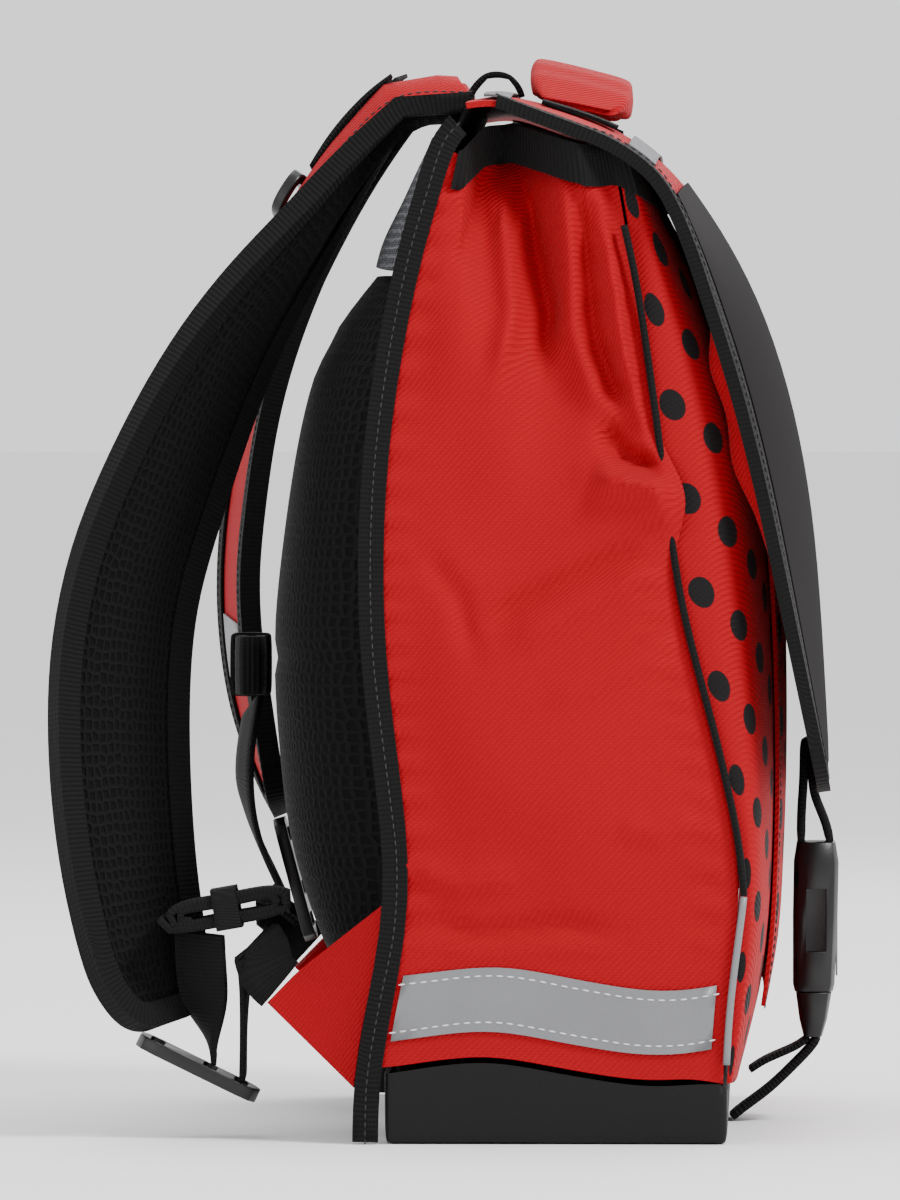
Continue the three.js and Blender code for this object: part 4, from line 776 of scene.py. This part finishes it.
def stitched(name, lines, pitch, thread, length, material, slot):
    """Stitches of one seam, made along one or more lines of points."""
    tree, keys = stitch_group()
    data = bpy.data.meshes.new(name)
    points, edges = [], []
    for line in lines:
        first = len(points)
        points += line
        edges += [(first + i, first + i + 1) for i in range(len(line) - 1)]
    data.from_pydata(points, edges, [])
    piece = linked(name, data)
    nodes = piece.modifiers.new("stitches", "NODES")
    nodes.node_group = tree
    nodes[keys["Pitch"]] = pitch
    nodes[keys["Thread"]] = thread
    nodes[keys["Length"]] = length
    nodes[keys["Material"]] = MATERIALS[material]
    bake(piece)
    bpy.data.node_groups.remove(tree)
    settle(piece, slot, material)
    piece.data.shade_smooth()
    return piece


def smooth_line(points, spacing=3 * MM):
    """Rounds a line of points to an even, finer one."""
    fine = []
    for i in range(len(points) - 1):
        before = points[max(i - 1, 0)]
        start, end = points[i], points[i + 1]
        after = points[min(i + 2, len(points) - 1)]
        count = max(int((end - start).length / spacing), 1)
        for j in range(count):
            t = j / count
            fine.append(0.5 * (2 * start + (end - before) * t
                               + (2 * before - 5 * start + 4 * end - after) * t * t
                               + (3 * start - before - 3 * end + after) * t**3))
    return fine + [points[-1]]


# Middle of the bag, from which a tape's outer face looks away
INSIDE = Vector((0, 0.01, 0.2))


def outer_line(rows):
    """Middle line of a folded tape's outer face, from its rings of eight corners."""
    line = []
    for row in rows:
        spots = np.array([tuple(co) for co in row])
        middle = spots.mean(axis=0)
        outward = np.linalg.svd(spots - middle)[2][1]
        if outward.dot(middle - np.array(INSIDE)) < 0:
            outward = -outward
        heights = (spots - middle) @ outward
        face = spots[np.argsort(heights)[-2:]]
        line.append(Vector(face.mean(axis=0)))
    return smooth_line(line)


def sew_tape(name, rows, settings):
    """Black seam along a folded tape."""
    pitch = settings.seam_pitch * DARK_SEAM
    stitched(f"{name}_stitches", [outer_line(rows)], pitch, THREAD, pitch * STITCH_SHARE,
             "black_thread", "black_tape")


# Pieces

# Turn of the loose webbing from its lock to its roll, in degrees
WEBBING_TWIST = {"left": 58, "right": 16}


def tape(node, slot, material, key, count, levels=1, crease=38, edit=None, twist=0.0):
    """A tape, webbing or binding, ribbed along its own length and twisted toward its far end."""
    mesh = cad_mesh(node)
    rows, centres = flat_coordinates(mesh, lambda co: Vector(key).dot(co), count)
    last = len(rows) - 1
    for i, row in enumerate(rows):
        run = centres[min(i + 1, last)] - centres[max(i - 1, 0)]
        turn = Matrix.Rotation(math.radians(twist) * toward(i / last, 0.0, 0.6), 3, run)
        for vertex in row:
            vertex.co = centres[i] + turn @ (vertex.co - centres[i])
    spots = [[v.co.copy() for v in row] for row in rows]
    piece = finished(mesh, f"dressed_{node}", node, slot, material, levels, crease, edit=edit)
    return piece, spots


def panel(node, slot, material, levels=2, mapping=None, edit=None, crease=38, bevel=0.0):
    """A sheet or solid whose cloth map is one of the frame's planes."""
    mesh = cad_mesh(node)
    if callable(mapping):
        write_map(mesh, mapping(mesh))
    elif mapping:
        plane_map(mesh, *mapping)
    return finished(
        mesh, f"dressed_{node}", node, slot, material, levels, crease, bevel, edit
    )


# Corners in one upright row of the pocket, and its seams' place in the outermost column
POCKET_ROW = 18
POCKET_SEAM = 0.4


def sew_pocket(settings):
    """Black seams down the pocket's two sides, inside its edges."""
    mesh = cad_mesh("front_pocket")
    rows = rows_of(mesh, lambda co: co.x, POCKET_ROW)
    faces = []
    for row in rows:
        level = sorted((v.co.copy() for v in row), key=lambda co: co.z)
        faces.append([min(level[i : i + 2], key=lambda co: co.y) for i in range(0, POCKET_ROW, 2)])
    mesh.free()
    lines = []
    for edge, inner in ((faces[0], faces[1]), (faces[-1], faces[-2])):
        lines.append(smooth_line([a.lerp(b, POCKET_SEAM) for a, b in zip(edge, inner)]))
    pitch = settings.seam_pitch * DARK_SEAM
    stitched("pocket_stitches", lines, pitch, THREAD, pitch * STITCH_SHARE, "black_thread",
             "black_tape")


# Shift of the dot pattern from the side seam and from the floor, in mm
DOT_SHIFT = (9.15, -9.3)
# Rise of its rows along the wall, and the steps in which the wall's arc is measured
DOT_SLANT = -0.289
ARC_STEPS = 80


def wrap_map(mesh):
    """Cloth map round the front wall: arc from the left side seam, and height."""

    def arc(share):
        steps = np.linspace(0.0, share, ARC_STEPS)
        rise = WRAP_DEPTH * np.maximum(1 - steps**SQUARENESS, 0) ** (1 / SQUARENESS)
        return np.hypot(np.diff(steps * HALF_WIDTH), np.diff(rise)).sum()

    half = arc(1.0)

    def at(vertex):
        from_middle = math.copysign(arc(min(abs(vertex.co.x) / HALF_WIDTH, 1.0)), vertex.co.x)
        return (half + from_middle + DOT_SHIFT[0] * MM, vertex.co.z + DOT_SHIFT[1] * MM)

    return at


def body_walls(settings):
    """Gussets, dotted front with its pocket, back wall and base tray."""
    for name, side in SIDES:
        gusset = panel(
            f"side_panel_{name}", "red_twill", "twill", 3, edit=lambda data: crumple(data, side)
        )
        declare_sheet(gusset)
        rows = tape(f"reflective_strip_{name}", "reflective", "reflective", (0, 1, 0),
                    RIBBON_RING)[1]
        lines = ([], [])
        for row in rows:
            ranked = sorted(row, key=lambda co: co.z)
            low = max(ranked[:2], key=lambda co: abs(co.x))
            high = max(ranked[-2:], key=lambda co: abs(co.x))
            inset = settings.seam_inset / (high - low).length
            lines[0].append(low.lerp(high, inset))
            lines[1].append(low.lerp(high, 1 - inset))
        stitched(f"strip_stitches_{name}", [smooth_line(line) for line in lines],
                 settings.seam_pitch, THREAD, settings.seam_pitch * STRIP_STITCH_SHARE,
                 "white_thread", "reflective")
    front = panel("front_panel", "red_twill", "dotted", 2, wrap_map, raise_hem)
    declare_sheet(front)
    pocket = panel("front_pocket", "red_twill", "dotted", 2, wrap_map)
    declare_sheet(pocket)
    sew_pocket(settings)
    back = panel("back_panel", "black_mesh", "spacer", 1, (0, 2))
    declare_sheet(back)
    panel("base_tub", "coated_black", "coated", 2, (0, 2))


def bindings(settings):
    """Tapes and cords along the body's seams and mouth."""
    tape("rim_binding", "black_tape", "binding", (1, -1, 0), FOLDED_RING, levels=2,
         edit=raise_hem)
    for name, _ in SIDES:
        rows = tape(f"back_binding_{name}", "black_tape", "binding", (0, 0, 1), FOLDED_RING)[1]
        sew_tape(f"back_binding_{name}", rows, settings)
        tape(f"piping_{name}", "black_tape", "binding", (0, 0, 1), CORD_RING, crease=80)
        tape(f"reflective_piping_{name}", "reflective", "reflective", (0, 0, 1), CORD_RING,
             crease=80)


def back_padding(settings):
    """Mesh pads, shoulder yoke and the corner tabs of the lower webbing."""
    for name, _ in SIDES:
        pad = panel(
            f"back_pad_{name}", "black_mesh", "spacer", 2, (0, 2),
            lambda data: quilt(data, channel_heights(settings), settings.quilt_depth * 1000),
        )
        tab = panel(f"corner_tab_{name}", "red_twill", "twill", 2)
        declare_sheet(tab)
    # The yoke's grey material is painted highlight on the back's upper mesh
    yoke = panel("back_yoke", "grey_mesh", "yoke", 3, (0, 2), edit=fill_yoke)


def channel_heights(settings):
    """Heights of the quilted channels across a back pad, in mm."""
    (low, high), count = QUILT_SPAN, settings.quilt_channels
    return [low + (high - low) * i / (count - 1) for i in range(count)]


def flap_pieces(settings):
    """Flap with its film cover, binding, top ribbons, handle and haul loop."""
    flap = panel("flap", "red_twill", "twill", 3, edit=puff_lining)
    declare_sheet(flap)
    cover = panel("flap_cover", "dark_film", "film", 2)
    declare_sheet(cover)
    rows = tape("flap_binding", "black_tape", "binding", (0.2, -1, 0), FOLDED_RING, levels=2)[1]
    sew_tape("flap_binding", rows, settings)
    for name in ("rear", "front"):
        ribbon = tape(f"flap_tape_{name}", "grey_ribbon", "ribbon", (1, 0, 0), RIBBON_RING,
                      levels=2)[0]
        declare_sheet(ribbon)
    handle = tape("handle", "red_twill", "twill", (1, 0, 0), SLEEVE_RING, levels=3, crease=80,
                  edit=slacken_handle)[0]
    for name, side in SIDES:
        tape(f"handle_anchor_{name}", "black_tape", "webbing", (side, 0, 0), SLEEVE_RING)
    tape("haul_loop", "black_webbing", "webbing", (0, 0, 1), WEBBING_RING, levels=2, edit=fatten)


def straps(settings):
    """Shoulder straps with their reflectors, rings, locks and webbing."""
    for name, side in SIDES:
        cover = tape(f"strap_cover_{name}", "red_twill", "twill", (0, 1, 0), STRAP_RING,
                     levels=2, edit=stuff_bend)[0]
        pad = tape(f"strap_pad_{name}", "black_mesh", "strap_mesh", (0, 1, 0), STRAP_RING,
                   levels=2)[0]
        declare_sheet(cover)
        rows = tape(f"strap_binding_{name}", "black_tape", "binding", (-0.1 * side, 1, 0),
                    FOLDED_RING, levels=2)[1]
        sew_tape(f"strap_binding_{name}", rows, settings)
        panel(f"strap_reflector_{name}", "reflective", "reflective", 1)
        tape(f"strap_tab_{name}", "black_tape", "webbing", (0, 0, -1), RIBBON_RING, edit=carry_up)
        panel(f"strap_ring_{name}", "black_plastic", "plastic", 2, crease=50, edit=carry_up)
        panel(f"ladder_lock_{name}", "black_plastic", "plastic", 0, crease=40, bevel=0.6 * MM)
        tape(f"lower_webbing_{name}", "black_webbing", "webbing", (-side, 0, 0), WEBBING_RING,
             levels=2, edit=fatten)
        tape(f"webbing_tail_{name}", "black_webbing", "webbing", (0, 0, 1), WEBBING_RING, levels=2,
             edit=fatten, twist=WEBBING_TWIST[name])
        panel(f"keeper_band_{name}", "black_tape", "elastic", 2, (0, 2), crease=50)
    for name, start in (("left", (0, -1, 0)), ("right", (-1, 0, 0))):
        tape(f"webbing_bundle_{name}", "black_webbing", "webbing", start, WEBBING_RING, levels=2,
             edit=pack_roll)


def buckle(settings):
    """Side release buckle with its reflective patch and webbing."""
    panel("buckle_body", "black_plastic", "plastic", 0, crease=40, bevel=0.8 * MM)
    panel("buckle_tongue", "black_plastic", "plastic", 0, crease=40, bevel=0.8 * MM)
    panel("buckle_reflector", "reflective", "reflective", 1, edit=press_patch)
    for name, start, edit in (
        ("upper", (0, 1, 0), pack_roll), ("lower", (0, 0, -1), pack_roll),
        ("tail", (0, 0, -1), fatten),
    ):
        tape(f"buckle_webbing_{name}", "black_webbing", "webbing", start, WEBBING_RING, levels=2,
             edit=edit)


def make_materials(settings):
    """Every material, from its own colour and grain."""
    red = tuple(settings.cloth_colour)
    MATERIALS.update(
        {
            # Woven and dyed polyester: slanted ribs that keep the light dull and even
            "twill": twill_material("Red polyester twill", red),
            # The same cloth, printed: flat black dots that follow it round the corner
            "dotted": twill_material(
                "Red twill with printed dots", red,
                {"diameter": settings.dot_size, "pitch": settings.dot_pitch, "slant": DOT_SLANT},
            ),
            # Woven edge tape: cross ribs in thin lines of light, drawn coarse so that they show
            "binding": tape_material("Black grosgrain binding", linear("0B0A0A"), 1.9 * MM),
            # Heavy woven strap: lower ribs, so a smoother look than the binding's
            "webbing": tape_material("Black polyester webbing", linear("0B0B0B"), 1.6 * MM, 0.4),
            # Covered elastic: the finest ribs and the evenest black
            "elastic": tape_material("Black elastic", linear("0F0F0F"), 1.2 * MM, 0.3),
            # Woven ribbon: pale grey ribs with a little more shine than the black tapes
            "ribbon": tape_material("Grey ribbed ribbon", tuple(settings.ribbon_colour),
                                    1.7 * MM, 0.35, 0.65),
            # Knitted spacer cloth: open cells, with painted shade in their holes
            "spacer": spacer_material("Black spacer mesh", linear("0D0D0E"), linear("050505"),
                                      3.0 * MM, 1.5),
            # The straps' own knit: slightly smaller and longer cells, with the same painted shade
            # in their holes
            "strap_mesh": spacer_material("Black strap mesh", linear("0E0E0F"),
                                          linear("050505"), 2.8 * MM, 1.6),
            # The yoke's knit: the smallest cells; its grey is painted highlight, its holes painted
            # shade
            "yoke": spacer_material("Spacer mesh with painted highlight", linear("606165"), linear("2E2E31"),
                                    2.6 * MM, 1.3),
            # Coated cloth: a half matte black skin with a pebble
            "coated": moulded_material("Coated nylon", linear("0C0B0C"), 0.55, 1.4 * MM,
                                       0.12 * MM, 0.2),
            # Moulded acetal: a smoother black with soft highlights along its edges
            "plastic": moulded_material("Moulded acetal", linear("0A0A0B"), 0.34, 0.9 * MM,
                                        0.03 * MM),
            # Glass beads under a clear skin: a grey that lifts evenly in the light
            "reflective": reflective_material("Glass bead tape", linear("747578")),
            # Clear film over cloth: near black with a faint gloss
            "film": film_material("Clear film over dark cloth", linear("141113")),
            # Spun polyester thread: matte, a little paler than the tapes that it sews
            "black_thread": thread_material("Black polyester thread", linear("1A1A1A")),
            # The same thread undyed: short pale dashes along the grey tape
            "white_thread": thread_material("White polyester thread", linear("D8D8D6")),
            # Matte paper: a pale ground with soft shadows
            "floor": floor_material("White paper sweep", linear("F2F2F2")),
        }
    )


# Stage

# Camera of the photograph: lens in mm, turn and height in degrees, target and distance in mm
LENS = 371.9
TILT = 1.5
ELEVATION = 1.2
TARGET = (0.0, 41.5, 209.5)
DISTANCE = 5000
# Its sensor's width in mm, and how far it sees in metres
SENSOR = 36
CLIP_END = 40

# Half the floor's width in metres, the world's brightness and the point that the lights face
FLOOR_HALF = 30.0
WORLD_STRENGTH = 1.3
LIT_POINT = (0, 0, 0.2)

# Lights: place, size in metres, power in watts
LIGHTS = {
    "key": ((-1.2, -1.7, 2.3), 0.8, 88),
    "fill": ((-2.2, 1.6, 0.9), 1.6, 10),
    "top": ((0.3, 0.1, 2.4), 1.6, 24),
    "far": ((2.0, -0.6, 1.4), 1.6, 14),
}


def set_stage(settings):
    """Paper floor, soft lights, pale world and the photograph's camera."""
    data = bpy.data.meshes.new("floor")
    far = FLOOR_HALF
    data.from_pydata([(-far, -far, 0), (far, -far, 0), (far, far, 0), (-far, far, 0)], [],
                     [(0, 1, 2, 3)])
    floor = linked("floor", data)
    data.materials.append(MATERIALS["floor"])
    centre = Vector(LIT_POINT)
    for name, (place, size, power) in LIGHTS.items():
        lamp = bpy.data.lights.new(name, "AREA")
        lamp.shape = "DISK"
        lamp.size = size
        lamp.energy = power
        light = linked(name, lamp)
        light.location = place
        light.rotation_euler = (centre - Vector(place)).to_track_quat("-Z", "Y").to_euler()
    world = bpy.data.worlds.new("studio")
    bpy.context.scene.world = world
    world.use_nodes = True
    sky = world.node_tree.nodes["Background"]
    sky.inputs["Color"].default_value = (1, 1, 1, 1)
    sky.inputs["Strength"].default_value = WORLD_STRENGTH
    lens = bpy.data.cameras.new("photo")
    lens.lens = LENS
    lens.sensor_width = SENSOR
    lens.sensor_fit = "AUTO"
    lens.clip_end = CLIP_END
    lens.dof.use_dof = False
    camera = linked("photo", lens)
    turn, rise = math.radians(TILT), math.radians(ELEVATION)
    look = Vector(
        (math.cos(turn) * math.cos(rise), math.sin(turn) * math.cos(rise), -math.sin(rise))
    )
    camera.location = (Vector(TARGET) - DISTANCE * look) * MM
    camera.rotation_euler = look.to_track_quat("-Z", "Y").to_euler()
    bpy.context.scene.camera = camera


# Add-on


class SatchelSettings(bpy.types.PropertyGroup):
    """Sizes and colours of the satchel's dressing."""

    cloth_colour: bpy.props.FloatVectorProperty(
        name="Cloth colour", description="Colour of the twill", subtype="COLOR", size=4,
        min=0.0, max=1.0, default=linear("9E0212"),
    )
    ribbon_colour: bpy.props.FloatVectorProperty(
        name="Ribbon colour", description="Colour of the flap's ribbons", subtype="COLOR", size=4,
        min=0.0, max=1.0, default=linear("68686C"),
    )
    dot_size: bpy.props.FloatProperty(
        name="Dot size", description="Diameter of a printed dot", default=0.0122, unit="LENGTH"
    )
    dot_pitch: bpy.props.FloatProperty(
        name="Dot pitch", description="Distance between dots in a row", default=0.0366,
        unit="LENGTH",
    )
    seam_pitch: bpy.props.FloatProperty(
        name="Stitch pitch", description="Length of a stitch with its gap", default=0.0042,
        unit="LENGTH",
    )
    seam_inset: bpy.props.FloatProperty(
        name="Stitch inset", description="Distance of a seam from the tape's edge",
        default=0.0035, unit="LENGTH",
    )
    quilt_channels: bpy.props.IntProperty(
        name="Channels", description="Quilted channels across a back pad", default=3, min=2
    )
    quilt_depth: bpy.props.FloatProperty(
        name="Channel depth", description="Depth of a quilted channel", default=0.002,
        unit="LENGTH",
    )


class SATCHEL_OT_materials(bpy.types.Operator):
    """Makes every material of the satchel."""

    bl_idname = "satchel.materials"
    bl_label = "Make materials"

    def execute(self, context):
        make_materials(context.scene.satchel)
        return {"FINISHED"}


class SATCHEL_OT_walls(bpy.types.Operator):
    """Dresses the gussets, front, pocket, back and tray."""

    bl_idname = "satchel.walls"
    bl_label = "Dress walls"

    def execute(self, context):
        body_walls(context.scene.satchel)
        return {"FINISHED"}


class SATCHEL_OT_bindings(bpy.types.Operator):
    """Dresses the tapes and cords along the seams."""

    bl_idname = "satchel.bindings"
    bl_label = "Dress bindings"

    def execute(self, context):
        bindings(context.scene.satchel)
        return {"FINISHED"}


class SATCHEL_OT_padding(bpy.types.Operator):
    """Dresses the pads, yoke and corner tabs."""

    bl_idname = "satchel.padding"
    bl_label = "Dress back padding"

    def execute(self, context):
        back_padding(context.scene.satchel)
        return {"FINISHED"}


class SATCHEL_OT_flap(bpy.types.Operator):
    """Dresses the flap, its trim, handle and haul loop."""

    bl_idname = "satchel.flap"
    bl_label = "Dress flap"

    def execute(self, context):
        flap_pieces(context.scene.satchel)
        return {"FINISHED"}


class SATCHEL_OT_straps(bpy.types.Operator):
    """Dresses the shoulder straps, locks and webbing."""

    bl_idname = "satchel.straps"
    bl_label = "Dress straps"

    def execute(self, context):
        straps(context.scene.satchel)
        return {"FINISHED"}


class SATCHEL_OT_buckle(bpy.types.Operator):
    """Dresses the side release buckle and its webbing."""

    bl_idname = "satchel.buckle"
    bl_label = "Dress buckle"

    def execute(self, context):
        buckle(context.scene.satchel)
        return {"FINISHED"}


class SATCHEL_OT_stage(bpy.types.Operator):
    """Sets the floor, lights, world and camera."""

    bl_idname = "satchel.stage"
    bl_label = "Set stage"

    def execute(self, context):
        set_stage(context.scene.satchel)
        return {"FINISHED"}


OPERATORS = [
    SATCHEL_OT_materials,
    SATCHEL_OT_walls,
    SATCHEL_OT_bindings,
    SATCHEL_OT_padding,
    SATCHEL_OT_flap,
    SATCHEL_OT_straps,
    SATCHEL_OT_buckle,
    SATCHEL_OT_stage,
]


class SATCHEL_PT_panel(bpy.types.Panel):
    """Sidebar panel with the satchel's sizes and steps."""

    bl_idname = "SATCHEL_PT_panel"
    bl_label = "Satchel"
    bl_space_type = "VIEW_3D"
    bl_region_type = "UI"
    bl_category = "Satchel"

    def draw(self, context):
        for name in SatchelSettings.__annotations__:
            self.layout.prop(context.scene.satchel, name)
        for operator in OPERATORS:
            self.layout.operator(operator.bl_idname)


CLASSES = [SatchelSettings, *OPERATORS, SATCHEL_PT_panel]


def register():
    for item in CLASSES:
        bpy.utils.register_class(item)
    bpy.types.Scene.satchel = bpy.props.PointerProperty(type=SatchelSettings)


def unregister():
    del bpy.types.Scene.satchel
    for item in reversed(CLASSES):
        bpy.utils.unregister_class(item)


def main():
    """Builds the dressed satchel and its stage."""
    register()
    for operator in OPERATORS:
        getattr(bpy.ops.satchel, operator.bl_idname.split(".")[1])()


if __name__ == "__main__":
    main()
